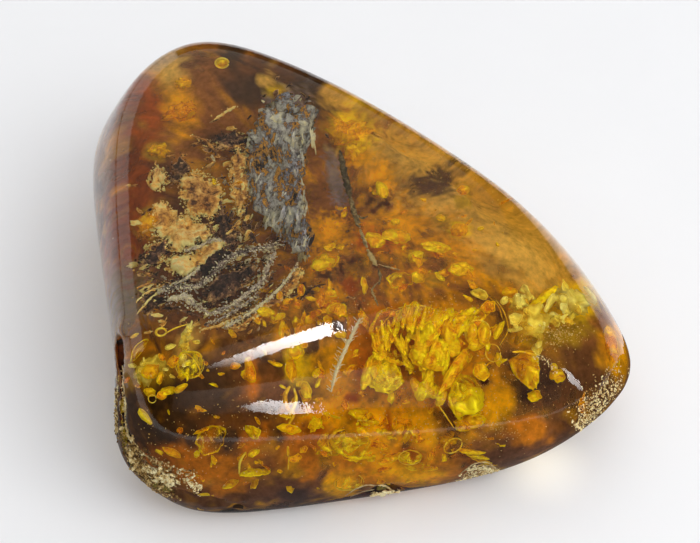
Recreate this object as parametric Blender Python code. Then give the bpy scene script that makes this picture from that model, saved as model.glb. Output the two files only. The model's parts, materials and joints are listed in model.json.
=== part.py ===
"""Raw amber: a hand-polished nugget with plant remains sealed under its top face.

The nugget is one clear stone with soft facets and a patch of natural skin. It is parted by a
level cut through the pockets that hold the remains, so that each remain is a solid of its own:

  amber_cap, amber_base   the clear stone above and below the cut
  bark_flake              tan, crumpled flake of bark
  bark_strip              dark, ridged strip of bark
  wood_splinter           grey splinter that narrows to a point
  twig                    thin straight sliver
  moss_sprig              small sprig below the front ridge
  gold_cluster            cluster of overlapping discs below the front ridge: stress fractures that
                          opened like petals in the stone
  pale_cluster            smaller cluster of them below the right shoulder

Metres, +Z up. The stone rests on the flat at z = 0, with the origin under the middle of its box.
"""
import math
from collections import namedtuple

import bmesh
import bpy
from mathutils import Matrix, Vector, noise

MM = 0.001

# ---- the stone -----------------------------------------------------------------------------
CORE = Vector((-1.0, -2.9, 12.0)) * MM   # point that every facet's distance is measured from
EDGE_POWER = 14                          # higher makes the edges between the facets sharper
SPHERE_LEVEL = 5                         # subdivisions of the sphere that the facets shape
SPHERE_SQUASH = 0.6                      # crowds the sphere's points towards the stone's sides

# Polished facets: azimuth from +X, tilt above the horizon (degrees), distance from CORE (mm).
FACETS = {
    "top": (260, 86, 12.8),
    "top_right": (330, 65, 20.0),
    "left": (188, 32, 29.5),
    "left_low": (192, -10, 29.5),
    "left_under": (185, -42, 26.5),
    "left_back": (153, 26, 37.8),
    "back": (110, 35, 37.5),
    "back_under": (105, -38, 30.0),
    "back_mid": (62, 32, 23.8),
    "back_right": (46, 32, 20.5),
    "back_right_under": (45, -38, 20.5),
    "right_back": (20, 28, 25.5),
    "right": (338, 10, 39.5),
    "right_shoulder": (325, 50, 25.0),
    "right_low": (322, -15, 38.5),
    "right_under": (325, -42, 33.0),
    "front_right_low": (303, -25, 33.5),
    "front_up": (284, 46, 21.0),
    "front": (278, 16, 27.0),
    "front_low": (279, -8, 29.5),
    "front_under": (281, -38, 28.0),
    "corner_up": (240, 45, 30.0),
    "corner": (220, 5, 38.5),
    "corner_low": (246, -12, 36.5),
    "foot": (0, -90, 13.0),
}

# Natural skin, placed by azimuth and tilt from CORE (degrees). The seam is an open crack round
# the left front corner, from the top edge to the foot, with rough rind along it.
SEAM = [(212.5, 13.0), (217.0, 9.5), (220.5, 5.0), (223.5, 0.0), (227.0, -4.5),
        (232.0, -7.5), (238.5, -10.0), (246.0, -13.0)]
SEAM_HALF_WIDTH = 1.3
SEAM_DEPTHS = (2.2 * MM, 0.5 * MM)   # at the top edge and at the foot
RIND_REACH = 4.0
RIND_HEIGHT = 0.6 * MM
RIND_GRAIN = 16.0                    # lumps per unit of direction
LOBE = (220.0, -10.0)                # swelling outside the seam
LOBE_SPAN = (11.0, 12.0)
LOBE_HEIGHT = 3.0 * MM
CORNER_RIND = (331.0, -1.0)          # grainy patch on the right corner
CORNER_RIND_SPAN = (9.0, 5.0)
CORNER_RIND_HEIGHT = 0.45 * MM
CHIP = (280.0, -16.5)
CHIP_SPAN = (3.4, 1.8)
CHIP_DEPTH = 1.0 * MM

# Zones with a finer mesh, in degrees.
FINE_REACH = 3.6                     # beside the seam
MEDIUM_REACH = 8.8
CHIP_REACH = (8.5, 6.5)
PATCH_EDGE = 0.3                     # how far a patch has faded where its zone ends

# ---- the cut and the remains ---------------------------------------------------------------
CUT_DEPTH = 3.2 * MM         # below the top facet, and parallel to it
CUT_GAP = 0.3 * MM
POCKET_GAP = 0.35            # mm, between a remain and its pocket
SPRIG_DEPTH = 2.2 * MM       # below the front_up facet
TEAR = 0.35                  # mm, how far a torn edge wanders
RIM_SHARE = 0.35             # thickness left at a remain's rim
POCKET_FULLNESS = 1.15       # makes up for the thinner rim of a pocket
POCKET_RINGS = 2
SHARPEST = 0.6               # keeps a pocket's sharp corners from running out to long points

# A remain lies on a plane below a facet. Outline, half thickness and ruffle height are in mm.
Remain = namedtuple("Remain", "facet depth outline half_thickness ruffle height rings")

# A cluster is a thin sheet that follows the surface at a depth below it, with scales fused to it.
# Its outline is anticlockwise, and a scale is its middle, half length, half width and turn
# (anticlockwise from level); places are azimuth and tilt from CORE in degrees, sizes are in mm.
Cluster = namedtuple("Cluster", "depth outline scales")
SHEET_HALF_THICKNESS = 0.3
SCALE_HALF_THICKNESS = 0.4
SCALE_LEAN = 9.0             # degrees, so that the scales overlap like tiles
SCALE_SIDES = 8
POCKET_HALF_THICKNESS = 1.7  # mm, clears the scales
POCKET_MARGIN = 2.2          # degrees, round a cluster's outline


# ---- the shape of the stone ----------------------------------------------------------------
def direction_at(azimuth, tilt):
    azimuth, tilt = math.radians(azimuth), math.radians(tilt)
    flat = math.cos(tilt)
    return Vector((math.cos(azimuth) * flat, math.sin(azimuth) * flat, math.sin(tilt)))


def facet_normal(name):
    return direction_at(*FACETS[name][:2])


PLANES = [(facet_normal(name), facet[2] * MM) for name, facet in FACETS.items()]


def bell(offset, span):
    return math.exp(-(offset / span) ** 2)


def azimuth_and_tilt(direction):
    azimuth = math.degrees(math.atan2(direction.y, direction.x)) % 360.0
    return azimuth, math.degrees(math.asin(direction.z))


def seam_place(azimuth, tilt):
    """Distance from the seam in degrees, and how far along it (0 to 1)."""
    nearest, place = 1e9, 0.0
    here = Vector((azimuth, tilt))
    for index, (start, end) in enumerate(zip(SEAM, SEAM[1:])):
        start, end = Vector(start), Vector(end)
        along = (here - start).dot(end - start) / (end - start).length_squared
        along = min(max(along, 0.0), 1.0)
        distance = (here - start.lerp(end, along)).length
        if distance < nearest:
            nearest, place = distance, (index + along) / (len(SEAM) - 1)
    return nearest, place


def patch(azimuth, tilt, centre, span):
    return bell(azimuth - centre[0], span[0]) * bell(tilt - centre[1], span[1])


def skin_relief(direction):
    """Height of the natural skin over the polished facets, in metres."""
    azimuth, tilt = azimuth_and_tilt(direction)
    distance, place = seam_place(azimuth, tilt)
    depth = SEAM_DEPTHS[0] + (SEAM_DEPTHS[1] - SEAM_DEPTHS[0]) * place
    lumps = 0.2 + noise.noise(direction * RIND_GRAIN)
    height = LOBE_HEIGHT * patch(azimuth, tilt, LOBE, LOBE_SPAN)
    height += RIND_HEIGHT * lumps * bell(distance, RIND_REACH)
    height += CORNER_RIND_HEIGHT * lumps * patch(azimuth, tilt, CORNER_RIND, CORNER_RIND_SPAN)
    height -= depth * bell(distance, SEAM_HALF_WIDTH)
    height -= CHIP_DEPTH * patch(azimuth, tilt, CHIP, CHIP_SPAN)
    return height


def polished_reach(direction):
    """Distance from CORE to the polished surface."""
    nearness = sum(max(normal.dot(direction) / distance, 0.0) ** EDGE_POWER for normal, distance in PLANES)
    return nearness ** (-1.0 / EDGE_POWER)


def stone_point(direction):
    """Where a line from CORE meets the stone's surface."""
    return CORE + direction * (polished_reach(direction) + skin_relief(direction))


def sphere_direction(point):
    return Vector((point.x, point.y, SPHERE_SQUASH * point.z)).normalized()


def near_skin(point):
    azimuth, tilt = azimuth_and_tilt(sphere_direction(point))
    in_patch = patch(azimuth, tilt, CORNER_RIND, CORNER_RIND_SPAN) > PATCH_EDGE
    in_chip = patch(azimuth, tilt, CHIP, CHIP_REACH) > PATCH_EDGE
    return seam_place(azimuth, tilt)[0] < MEDIUM_REACH or in_patch or in_chip


def near_seam(point):
    return seam_place(*azimuth_and_tilt(sphere_direction(point)))[0] < FINE_REACH


def refine(bm, inside):
    """Halve the edges that lie inside a zone of the sphere."""
    edges = [edge for edge in bm.edges if all(inside(vert.co) for vert in edge.verts)]
    bmesh.ops.subdivide_edges(bm, edges=edges, cuts=1)
    bmesh.ops.triangulate(bm, faces=[face for face in bm.faces if len(face.verts) > 3])


def cut_flat(bm, point, away):
    """Cut off everything on the `away` side of a plane, and close the cut with one flat face."""
    geometry = bm.verts[:] + bm.edges[:] + bm.faces[:]
    bmesh.ops.bisect_plane(bm, geom=geometry, plane_co=point, plane_no=away, clear_outer=True)
    rim = [edge for edge in bm.edges if edge.is_boundary]
    bmesh.ops.edgeloop_fill(bm, edges=rim)
    bmesh.ops.recalc_face_normals(bm, faces=bm.faces[:])


def stone_mesh():
    bm = bmesh.new()
    bmesh.ops.create_icosphere(bm, subdivisions=SPHERE_LEVEL, radius=1.0)
    refine(bm, near_skin)
    refine(bm, near_seam)
    for vert in bm.verts:
        vert.co = stone_point(sphere_direction(vert.co))
    cut_flat(bm, Vector((0.0, 0.0, 0.0)), Vector((0.0, 0.0, -1.0)))
    return bm


# ---- the shape of the remains --------------------------------------------------------------
def facet_frame(name, depth):
    """A frame on a plane below a facet: X level, Y up the slope, Z along the facet's normal."""
    normal = facet_normal(name)
    level = Vector((0.0, 0.0, 1.0)).cross(normal).normalized()
    slope = normal.cross(level)
    origin = CORE + normal * (FACETS[name][2] * MM - depth)
    return Matrix.Translation(origin) @ Matrix((level, slope, normal)).transposed().to_4x4()


def band_outline(line, half_widths):
    """Outline, anticlockwise, of a band along a line of points."""
    right, left = [], []
    for index, (x, y) in enumerate(line):
        before = line[max(index - 1, 0)]
        after = line[min(index + 1, len(line) - 1)]
        along = Vector((after[0] - before[0], after[1] - before[1])).normalized()
        across = Vector((along.y, -along.x)) * half_widths[index]
        right.append((x + across.x, y + across.y))
        left.append((x - across.x, y - across.y))
    return right + left[::-1]


def swollen(outline, by):
    """The outline with each edge moved outwards by a distance."""
    points = [Vector(point) for point in outline]
    moved = []
    for before, point, after in zip(points[-1:] + points[:-1], points, points[1:] + points[:1]):
        to_here, from_here = (point - before).normalized(), (after - point).normalized()
        along = (to_here + from_here) / max(1.0 + to_here.dot(from_here), SHARPEST)
        moved.append(point + Vector((along.y, -along.x)) * by)
    return moved


def split_edges(outline, parts, ragged):
    """More points along the outline, each pushed in or out a little to leave a torn edge."""
    count = len(outline)
    points = []
    for index in range(count):
        start, end = Vector(outline[index]), Vector(outline[(index + 1) % count])
        outward = Vector((end.y - start.y, start.x - end.x)).normalized()
        for part in range(parts):
            point = start.lerp(end, part / parts)
            tear = noise.noise(Vector((point.x, point.y, 3.0)) * 1.7)
            points.append(point + outward * ragged * tear)
    return points


def slab(outline, half_thickness, ruffle, height, rings):
    """A closed slab with rounded faces over an outline in millimetres."""
    bm = bmesh.new()
    middle = sum(outline, Vector((0.0, 0.0))) / len(outline)
    loops = {}
    for side in (1, -1):
        loops[side] = []
        for ring in range(1, rings + 1):
            reach = ring / rings
            swell = half_thickness * (RIM_SHARE + (1.0 - RIM_SHARE) * math.sqrt(1.0 - reach ** 3))
            loop = []
            for point in outline:
                x, y = middle.lerp(point, reach)
                loop.append(bm.verts.new(Vector((x, y, height * ruffle(x, y) + side * swell)) * MM))
            loops[side].append(loop)
        x, y = middle
        peak = bm.verts.new(Vector((x, y, height * ruffle(x, y) + side * half_thickness)) * MM)
        close_loop(bm, loops[side], peak)
    join_loops(bm, loops[1][-1], loops[-1][-1])
    bmesh.ops.recalc_face_normals(bm, faces=bm.faces[:])
    return bm


def close_loop(bm, loops, peak):
    count = len(loops[0])
    for index in range(count):
        bm.faces.new((peak, loops[0][index], loops[0][(index + 1) % count]))
    for inner, outer in zip(loops, loops[1:]):
        join_loops(bm, inner, outer)


def join_loops(bm, inner, outer):
    count = len(inner)
    for index in range(count):
        after = (index + 1) % count
        bm.faces.new((inner[index], outer[index], outer[after], inner[after]))


def sheet(outline, depth, half_thickness, rim_share=1.0, rings=2):
    """A closed sheet that follows the polished surface at a depth (mm) below it."""
    bm = bmesh.new()
    middle = sum((Vector(point) for point in outline), Vector((0.0, 0.0))) / len(outline)
    loops = {}
    for side in (1, -1):
        loops[side] = []
        for ring in range(1, rings + 1):
            thickness = half_thickness * (1.0 if ring < rings else rim_share)
            places = [middle.lerp(Vector(point), ring / rings) for point in outline]
            loops[side].append([bm.verts.new(under_skin(*place, depth - side * thickness)) for place in places])
        close_loop(bm, loops[side], bm.verts.new(under_skin(*middle, depth - side * half_thickness)))
    join_loops(bm, loops[1][-1], loops[-1][-1])
    bmesh.ops.recalc_face_normals(bm, faces=bm.faces[:])
    return bm


def under_skin(azimuth, tilt, depth):
    direction = direction_at(azimuth, tilt)
    return CORE + direction * (polished_reach(direction) - depth * MM)


def skin_frame(azimuth, tilt, depth):
    """A frame at a depth below the surface: X along it to the right, Z out of it."""
    level = under_skin(azimuth + 1.0, tilt, depth) - under_skin(azimuth - 1.0, tilt, depth)
    slope = under_skin(azimuth, tilt + 1.0, depth) - under_skin(azimuth, tilt - 1.0, depth)
    level.normalize()
    out = level.cross(slope).normalized()
    axes = Matrix((level, out.cross(level), out)).transposed().to_4x4()
    return Matrix.Translation(under_skin(azimuth, tilt, depth)) @ axes


def lens(scale, depth):
    """A flat scale that leans over its neighbour on the sheet."""
    azimuth, tilt, half_length, half_width, turn = scale
    turned = Matrix.Rotation(math.radians(turn), 4, "Z") @ Matrix.Rotation(math.radians(SCALE_LEAN), 4, "Y")
    frame = skin_frame(azimuth, tilt, depth) @ turned
    bm = bmesh.new()
    rim = []
    for index in range(SCALE_SIDES):
        angle = 2 * math.pi * index / SCALE_SIDES
        place = Vector((half_length * math.cos(angle), half_width * math.sin(angle), 0.0))
        rim.append(bm.verts.new(frame @ (place * MM)))
    for height in (SCALE_HALF_THICKNESS, -SCALE_HALF_THICKNESS):
        close_loop(bm, [rim], bm.verts.new(frame @ Vector((0.0, 0.0, height * MM))))
    bmesh.ops.recalc_face_normals(bm, faces=bm.faces[:])
    return bm


def crumpled(x, y):
    return 0.6 * math.sin(0.9 * x + 1.1 * y) + 0.4 * math.sin(1.9 * x - 0.7 * y)


def banded(x, y):
    return math.sin(0.35 * x - 1.45 * y + 0.8 * math.sin(0.5 * x))


def fibrous(x, y):
    return math.sin(2.6 * (x + 0.42 * y)) * 0.8


def bent(x, y):
    return math.sin(0.25 * y)


def level(x, y):
    return 0.0


REMAINS = {
    "bark_flake": Remain(
        "top", CUT_DEPTH,
        [(-25.0, 4.3), (-24.2, -2.7), (-22.0, -8.6), (-16.4, -8.8), (-12.2, -7.6),
         (-13.0, -1.0), (-14.9, 5.2), (-19.8, 5.9)],
        0.7, crumpled, 0.4, 4),
    "bark_strip": Remain(
        "top", CUT_DEPTH,
        [(-23.0, -11.4), (-21.8, -16.7), (-18.6, -19.4), (-14.4, -19.9), (-10.0, -18.8), (-5.7, -17.4),
         (-1.4, -15.4), (-2.7, -9.9), (-7.6, -8.6), (-12.3, -9.4), (-19.1, -10.9)],
        0.8, banded, 0.45, 5),
    "wood_splinter": Remain(
        "top", CUT_DEPTH,
        [(-15.6, 17.5), (-14.8, 12.0), (-13.2, 5.5), (-10.2, -2.1), (-6.6, -4.2),
         (-3.6, -5.9), (-4.6, -2.0), (-6.4, 5.7), (-10.0, 13.4), (-13.4, 17.9)],
        0.7, fibrous, 0.3, 4),
    "twig": Remain(
        "top", CUT_DEPTH,
        band_outline([(-1.6, 8.9), (2.3, -2.5), (5.0, -10.9), (7.2, -16.0)], [0.3, 0.5, 0.5, 0.25]),
        0.4, bent, 0.1, 2),
    "moss_sprig": Remain(
        "front_up", SPRIG_DEPTH,
        band_outline([(-7.0, -11.2), (-5.9, -9.2), (-4.7, -7.2), (-3.6, -5.7), (-2.6, -4.4)],
                     [0.35, 0.8, 1.0, 0.8, 0.35]),
        0.4, bent, 0.1, 2),
}

CLUSTERS = {
    "gold_cluster": Cluster(
        3.6,
        [(275.5, 16.0), (276.5, 9.7), (268.5, 4.0), (272.0, -2.5), (283.0, -6.0), (300.0, -7.0),
         (312.5, -3.5), (317.5, 5.0), (326.5, 17.0), (318.5, 24.0), (299.0, 32.0), (290.0, 27.0),
         (280.0, 22.0)],
        [(282.5, 14.7, 2.1, 1.9, 100), (290.0, 21.0, 2.6, 2.2, 55), (300.8, 26.5, 2.2, 1.1, 40),
         (309.5, 22.5, 2.2, 1.2, 60), (317.5, 17.1, 1.6, 1.3, 20), (300.0, 18.0, 2.0, 1.6, 60),
         (293.6, 8.5, 1.7, 1.2, 50), (303.8, 11.2, 3.2, 0.9, 58), (304.2, 3.0, 2.6, 2.1, 120),
         (312.1, 8.5, 1.4, 1.2, 90), (288.6, 0.8, 2.4, 1.9, 20), (277.0, 1.6, 2.2, 1.5, -10)]),
    "pale_cluster": Cluster(
        3.8,
        [(319.5, 0.5), (325.0, 4.0), (332.0, 5.0), (344.5, 3.5), (346.5, 10.5), (339.0, 16.5),
         (330.5, 20.0), (325.0, 11.0), (320.2, 6.0)],
        [(329.3, 13.5, 2.3, 1.8, 80), (334.5, 15.5, 2.4, 0.8, 38), (341.0, 9.5, 2.1, 1.6, -10),
         (320.9, 5.0, 2.2, 1.0, -72)]),
}

# base colour, roughness
COLOURS = {
    "amber": ((0.80, 0.42, 0.06), 0.08),
    "bark_flake": ((0.42, 0.27, 0.12), 0.8),
    "bark_strip": ((0.11, 0.08, 0.06), 0.8),
    "wood_splinter": ((0.30, 0.28, 0.25), 0.75),
    "twig": ((0.10, 0.07, 0.05), 0.8),
    "moss_sprig": ((0.55, 0.52, 0.42), 0.8),
    "gold_cluster": ((0.85, 0.55, 0.03), 0.3),
    "pale_cluster": ((0.90, 0.72, 0.20), 0.4),
}


# ---- objects -------------------------------------------------------------------------------
def clear_scene():
    for item in list(bpy.data.objects):
        bpy.data.objects.remove(item)


def material(name):
    colour, roughness = COLOURS[name]
    made = bpy.data.materials.new(name)
    made.use_nodes = True
    shader = made.node_tree.nodes["Principled BSDF"]
    shader.inputs["Base Color"].default_value = (*colour, 1.0)
    shader.inputs["Roughness"].default_value = roughness
    return made


def add_object(name, bm, frame=None):
    mesh = bpy.data.meshes.new(name)
    bm.to_mesh(mesh)
    bm.free()
    item = bpy.data.objects.new(name, mesh)
    if frame is not None:
        item.matrix_world = frame
    bpy.context.scene.collection.objects.link(item)
    return item


def add_remain(name):
    remain = REMAINS[name]
    outline = split_edges(remain.outline, 2, TEAR)
    shape = slab(outline, remain.half_thickness, remain.ruffle, remain.height, remain.rings)
    item = add_object(name, shape, facet_frame(remain.facet, remain.depth))
    item.data.materials.append(material(name))


def guide(item):
    item.hide_render = True
    item.display_type = "WIRE"
    return item


def add_boolean(item, operation, other):
    boolean = item.modifiers.new(other.name, "BOOLEAN")
    boolean.operation = operation
    boolean.object = other


def add_cluster(name):
    """The sheet with all its scales fused to it."""
    cluster = CLUSTERS[name]
    item = add_object(name, sheet(cluster.outline, cluster.depth, SHEET_HALF_THICKNESS, RIM_SHARE))
    item.data.materials.append(material(name))
    for index, scale in enumerate(cluster.scales):
        depth = cluster.depth - SHEET_HALF_THICKNESS * (index % 2)
        add_boolean(item, "UNION", guide(add_object("scale_of_" + name, lens(scale, depth))))


def add_cluster_pocket(name):
    cluster = CLUSTERS[name]
    outline = swollen(cluster.outline, POCKET_MARGIN)
    return guide(add_object("pocket_" + name, sheet(outline, cluster.depth, POCKET_HALF_THICKNESS)))


def add_pocket_cutter(name):
    """A plain slab that clears its remain, ruffles and torn edge included."""
    remain = REMAINS[name]
    outline = swollen(remain.outline, TEAR + POCKET_GAP)
    half_thickness = remain.half_thickness + remain.height + POCKET_GAP
    cutter = slab(outline, half_thickness * POCKET_FULLNESS, level, 0.0, POCKET_RINGS)
    return guide(add_object("pocket_" + name, cutter, facet_frame(remain.facet, remain.depth)))


def add_half(name, stone, keep, cutters, amber):
    """The stone on one side of the cut, with the pockets taken out of it."""
    normal = facet_normal("top")
    middle = CORE + normal * (FACETS["top"][2] * MM - CUT_DEPTH)
    half = stone.copy()
    cut_flat(half, middle + normal * (keep * CUT_GAP / 2), normal * -keep)
    for face in half.faces:
        face.smooth = True
    item = add_object(name, half)
    item.data.set_sharp_from_angle(angle=math.radians(40.0))
    item.data.materials.append(amber)
    for cutter in cutters:
        add_boolean(item, "DIFFERENCE", cutter)


def main():
    clear_scene()
    stone = stone_mesh()
    cutters = [add_pocket_cutter(name) for name in REMAINS]
    cutters += [add_cluster_pocket(name) for name in CLUSTERS]
    amber = material("amber")
    add_half("amber_cap", stone, 1, cutters, amber)
    add_half("amber_base", stone, -1, cutters, amber)
    stone.free()
    for name in REMAINS:
        add_remain(name)
    for name in CLUSTERS:
        add_cluster(name)


main()
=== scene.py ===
"""Looks for the raw amber nugget: clear polished stone, plant remains and gold spangles inside it."""
import json
import math
import random

import bmesh
import bpy
import numpy as np
from mathutils import Matrix, Vector, noise
from mathutils.bvhtree import BVHTree

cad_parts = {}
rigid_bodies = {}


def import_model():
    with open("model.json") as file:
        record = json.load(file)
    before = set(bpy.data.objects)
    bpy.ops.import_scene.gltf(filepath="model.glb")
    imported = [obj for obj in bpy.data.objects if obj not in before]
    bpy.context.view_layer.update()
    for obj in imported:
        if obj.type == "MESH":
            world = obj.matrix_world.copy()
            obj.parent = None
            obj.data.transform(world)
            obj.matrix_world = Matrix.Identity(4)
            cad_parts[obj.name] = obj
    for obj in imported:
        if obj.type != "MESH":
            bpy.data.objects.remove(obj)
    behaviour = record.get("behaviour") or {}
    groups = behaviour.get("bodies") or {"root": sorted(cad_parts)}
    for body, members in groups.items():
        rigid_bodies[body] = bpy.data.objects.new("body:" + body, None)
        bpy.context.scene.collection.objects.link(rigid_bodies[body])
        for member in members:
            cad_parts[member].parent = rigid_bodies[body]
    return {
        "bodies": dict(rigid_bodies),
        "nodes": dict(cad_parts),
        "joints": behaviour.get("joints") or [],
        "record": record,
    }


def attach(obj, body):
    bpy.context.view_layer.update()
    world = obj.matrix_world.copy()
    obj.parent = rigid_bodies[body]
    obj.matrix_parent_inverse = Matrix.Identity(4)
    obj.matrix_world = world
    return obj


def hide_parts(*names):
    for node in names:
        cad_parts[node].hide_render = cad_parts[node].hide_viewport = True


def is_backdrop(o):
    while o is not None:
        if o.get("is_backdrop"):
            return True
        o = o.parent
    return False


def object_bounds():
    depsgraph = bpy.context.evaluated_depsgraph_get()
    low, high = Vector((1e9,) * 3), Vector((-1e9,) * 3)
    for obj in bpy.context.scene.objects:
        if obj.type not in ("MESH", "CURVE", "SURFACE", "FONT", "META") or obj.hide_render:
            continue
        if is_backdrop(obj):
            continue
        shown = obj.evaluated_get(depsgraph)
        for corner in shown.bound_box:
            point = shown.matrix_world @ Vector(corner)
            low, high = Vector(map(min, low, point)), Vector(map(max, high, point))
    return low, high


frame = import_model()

MM = 0.001
CAD_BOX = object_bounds()

# ---- view ----------------------------------------------------------------------------------
IMAGE_WIDTH, IMAGE_HEIGHT = 700, 543      # the frame that pixel places below refer to
STONE_MIDDLE = (360, 290)                 # pixel at the middle of the stone
LENS, SENSOR = 100.0, 36.0                # mm
CLIP_START = 0.01
CAMERA_AIM = Vector((-0.5, -0.9, 11.0)) * MM
CAMERA_ELEVATION = math.radians(48.0)
CAMERA_DISTANCE = 0.245
PIXEL = CAMERA_DISTANCE * SENSOR / LENS / IMAGE_WIDTH   # size of a pixel at the stone, in metres

# ---- the stone: the same soft polyhedron as the CAD -------------------------------------------
CORE = Vector((-1.0, -2.9, 12.0)) * MM
EDGE_POWER = 14
SPHERE_LEVEL, SPHERE_SQUASH = 7, 0.6      # the ball that is shaped into the stone: detail and height
STONE_SHARP = math.radians(50.0)          # angle from which its edges stay sharp
IOR = 1.54
# azimuth from +X, tilt above the horizon (degrees), distance from CORE (mm)
FACETS = {
    "top": (260, 86, 12.8),
    "top_right": (330, 65, 20.0),
    "left": (188, 32, 29.5),
    "left_low": (192, -10, 29.5),
    "left_under": (185, -42, 26.5),
    "left_back": (153, 26, 37.8),
    "back": (110, 35, 37.5),
    "back_under": (105, -38, 30.0),
    "back_mid": (62, 32, 23.8),
    "back_right": (46, 32, 20.5),
    "back_right_under": (45, -38, 20.5),
    "right_back": (20, 28, 25.5),
    "right": (338, 10, 39.5),
    "right_shoulder": (325, 50, 25.0),
    "right_low": (322, -15, 38.5),
    "right_under": (325, -42, 33.0),
    "front_right_low": (303, -25, 33.5),
    "front_up": (284, 46, 21.0),
    "front": (278, 16, 27.0),
    "front_low": (279, -8, 29.5),
    "front_under": (281, -38, 28.0),
    "corner_up": (240, 45, 30.0),
    "corner": (220, 5, 38.5),
    "corner_low": (246, -12, 36.5),
    "foot": (0, -90, 13.0),
}
# natural skin, placed by azimuth and tilt from CORE (degrees)
SEAM = [(212.5, 13.0), (217.0, 9.5), (220.5, 5.0), (223.5, 0.0), (227.0, -4.5),
        (232.0, -7.5), (238.5, -10.0), (246.0, -13.0)]
SEAM_HALF_WIDTH = 1.3
SEAM_DEPTHS = (2.2 * MM, 0.5 * MM)
RIND_REACH = 4.0
RIND_HEIGHT = 0.6 * MM
RIND_GRAIN, GRIT_GRAIN = 16.0, 80.0
RIND_SWELL = 0.2                          # added to its noise, so that it stands out on the whole
LOBE, LOBE_SPAN, LOBE_HEIGHT = (220.0, -10.0), (11.0, 12.0), 3.0 * MM
CORNER_RIND, CORNER_RIND_SPAN, CORNER_RIND_HEIGHT = (331.0, -1.0), (9.0, 5.0), 0.45 * MM
CHIP, CHIP_SPAN, CHIP_DEPTH = (280.0, -16.5), (3.4, 1.8), 1.0 * MM


def facet_normal(name):
    azimuth, tilt = (math.radians(angle) for angle in FACETS[name][:2])
    flat = math.cos(tilt)
    return Vector((math.cos(azimuth) * flat, math.sin(azimuth) * flat, math.sin(tilt)))


NORMALS = np.array([facet_normal(name) for name in FACETS])
DISTANCES = np.array([facet[2] for facet in FACETS.values()]) * MM


def bell(offset, span):
    return np.exp(-(offset / span) ** 2)


def azimuth_and_tilt(directions):
    azimuth = np.degrees(np.arctan2(directions[:, 1], directions[:, 0])) % 360.0
    return azimuth, np.degrees(np.arcsin(np.clip(directions[:, 2], -1.0, 1.0)))


def seam_place(azimuth, tilt):
    """Distance from the seam in degrees, and how far along it (0 to 1)."""
    here = np.stack([azimuth, tilt], 1)
    nearest, place = np.full(len(here), 1e9), np.zeros(len(here))
    for index, (start, end) in enumerate(zip(SEAM, SEAM[1:])):
        start, span = np.array(start), np.array(end) - np.array(start)
        along = np.clip((here - start) @ span / (span @ span), 0.0, 1.0)
        distance = np.linalg.norm(here - start - along[:, None] * span, axis=1)
        closer = distance < nearest
        nearest = np.where(closer, distance, nearest)
        place = np.where(closer, (index + along) / (len(SEAM) - 1), place)
    return nearest, place


def patch(azimuth, tilt, centre, span):
    return bell(azimuth - centre[0], span[0]) * bell(tilt - centre[1], span[1])


def lumps_at(directions, grain, weight=1.0):
    """Noise where the weight counts, so that most points skip the slow call."""
    lumps = np.zeros(len(directions))
    for index in np.nonzero(weight * np.ones(len(directions)) > 0.01)[0]:
        lumps[index] = noise.noise(Vector(directions[index]) * grain)
    return lumps


def skin_relief(directions):
    """Height of the natural skin over the polished facets, in metres."""
    azimuth, tilt = azimuth_and_tilt(directions)
    distance, place = seam_place(azimuth, tilt)
    beside_seam = bell(distance, RIND_REACH)
    in_corner = patch(azimuth, tilt, CORNER_RIND, CORNER_RIND_SPAN)
    lumps = RIND_SWELL + lumps_at(directions, RIND_GRAIN, beside_seam + in_corner)
    grit = lumps_at(directions, GRIT_GRAIN, beside_seam + in_corner)
    height = LOBE_HEIGHT * patch(azimuth, tilt, LOBE, LOBE_SPAN)
    height += RIND_HEIGHT * (lumps + 0.3 * grit) * beside_seam
    height += CORNER_RIND_HEIGHT * (lumps + 0.5 * grit) * in_corner
    depth = SEAM_DEPTHS[0] + (SEAM_DEPTHS[1] - SEAM_DEPTHS[0]) * place
    height -= depth * bell(distance, SEAM_HALF_WIDTH)
    height -= CHIP_DEPTH * patch(azimuth, tilt, CHIP, CHIP_SPAN)
    return height


def stone_points(directions, relief=True, inset=0.0):
    """Where lines from CORE meet the stone's surface, or the surface with its facets moved inwards."""
    facing = np.maximum(directions @ NORMALS.T / (DISTANCES - np.reshape(inset, (-1, 1))), 0.0)
    reach = (facing ** EDGE_POWER).sum(1) ** (-1.0 / EDGE_POWER)
    if relief:
        reach = reach + skin_relief(directions)
    return np.array(CORE) + directions * reach[:, None]


# ---- materials -----------------------------------------------------------------------------
class Nodes:
    """A node tree with its main node, and short ways to add to it."""

    def __init__(self, tree, main):
        self.nodes, self.links = tree.nodes, tree.links
        self.main = self.nodes[main]

    def node(self, kind, **settings):
        node = self.nodes.new("ShaderNode" + kind)
        for key, value in settings.items():
            setattr(node, key, value)
        return node

    def link(self, source, target):
        self.links.new(source, self.main.inputs[target] if isinstance(target, str) else target)

    def maths(self, kind, operation, *sources):
        """The outputs of a maths node fed with sockets or plain values."""
        node = self.node(kind, operation=operation)
        for source, target in zip(sources, node.inputs):
            if isinstance(source, bpy.types.NodeSocket):
                self.links.new(source, target)
            else:
                target.default_value = source
        return node.outputs

    def total(self, *terms):
        """Sum of socket times weight."""
        result = 0.0
        for socket, weight in terms:
            result = self.maths("Math", "MULTIPLY_ADD", socket, weight, result)[0]
        return result

    def ramp(self, factor, *stops):
        """A colour ramp over a factor; a stop's colour may be one number, for grey."""
        made = self.node("ValToRGB")
        elements = made.color_ramp.elements
        while len(elements) < len(stops):
            elements.new(0.5)
        for element, (position, colour) in zip(elements, stops):
            element.position = position
            element.color = (*colour, 1.0) if isinstance(colour, tuple) else (colour, colour, colour, 1.0)
        self.link(factor, made.inputs[0])
        return made.outputs[0]


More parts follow.
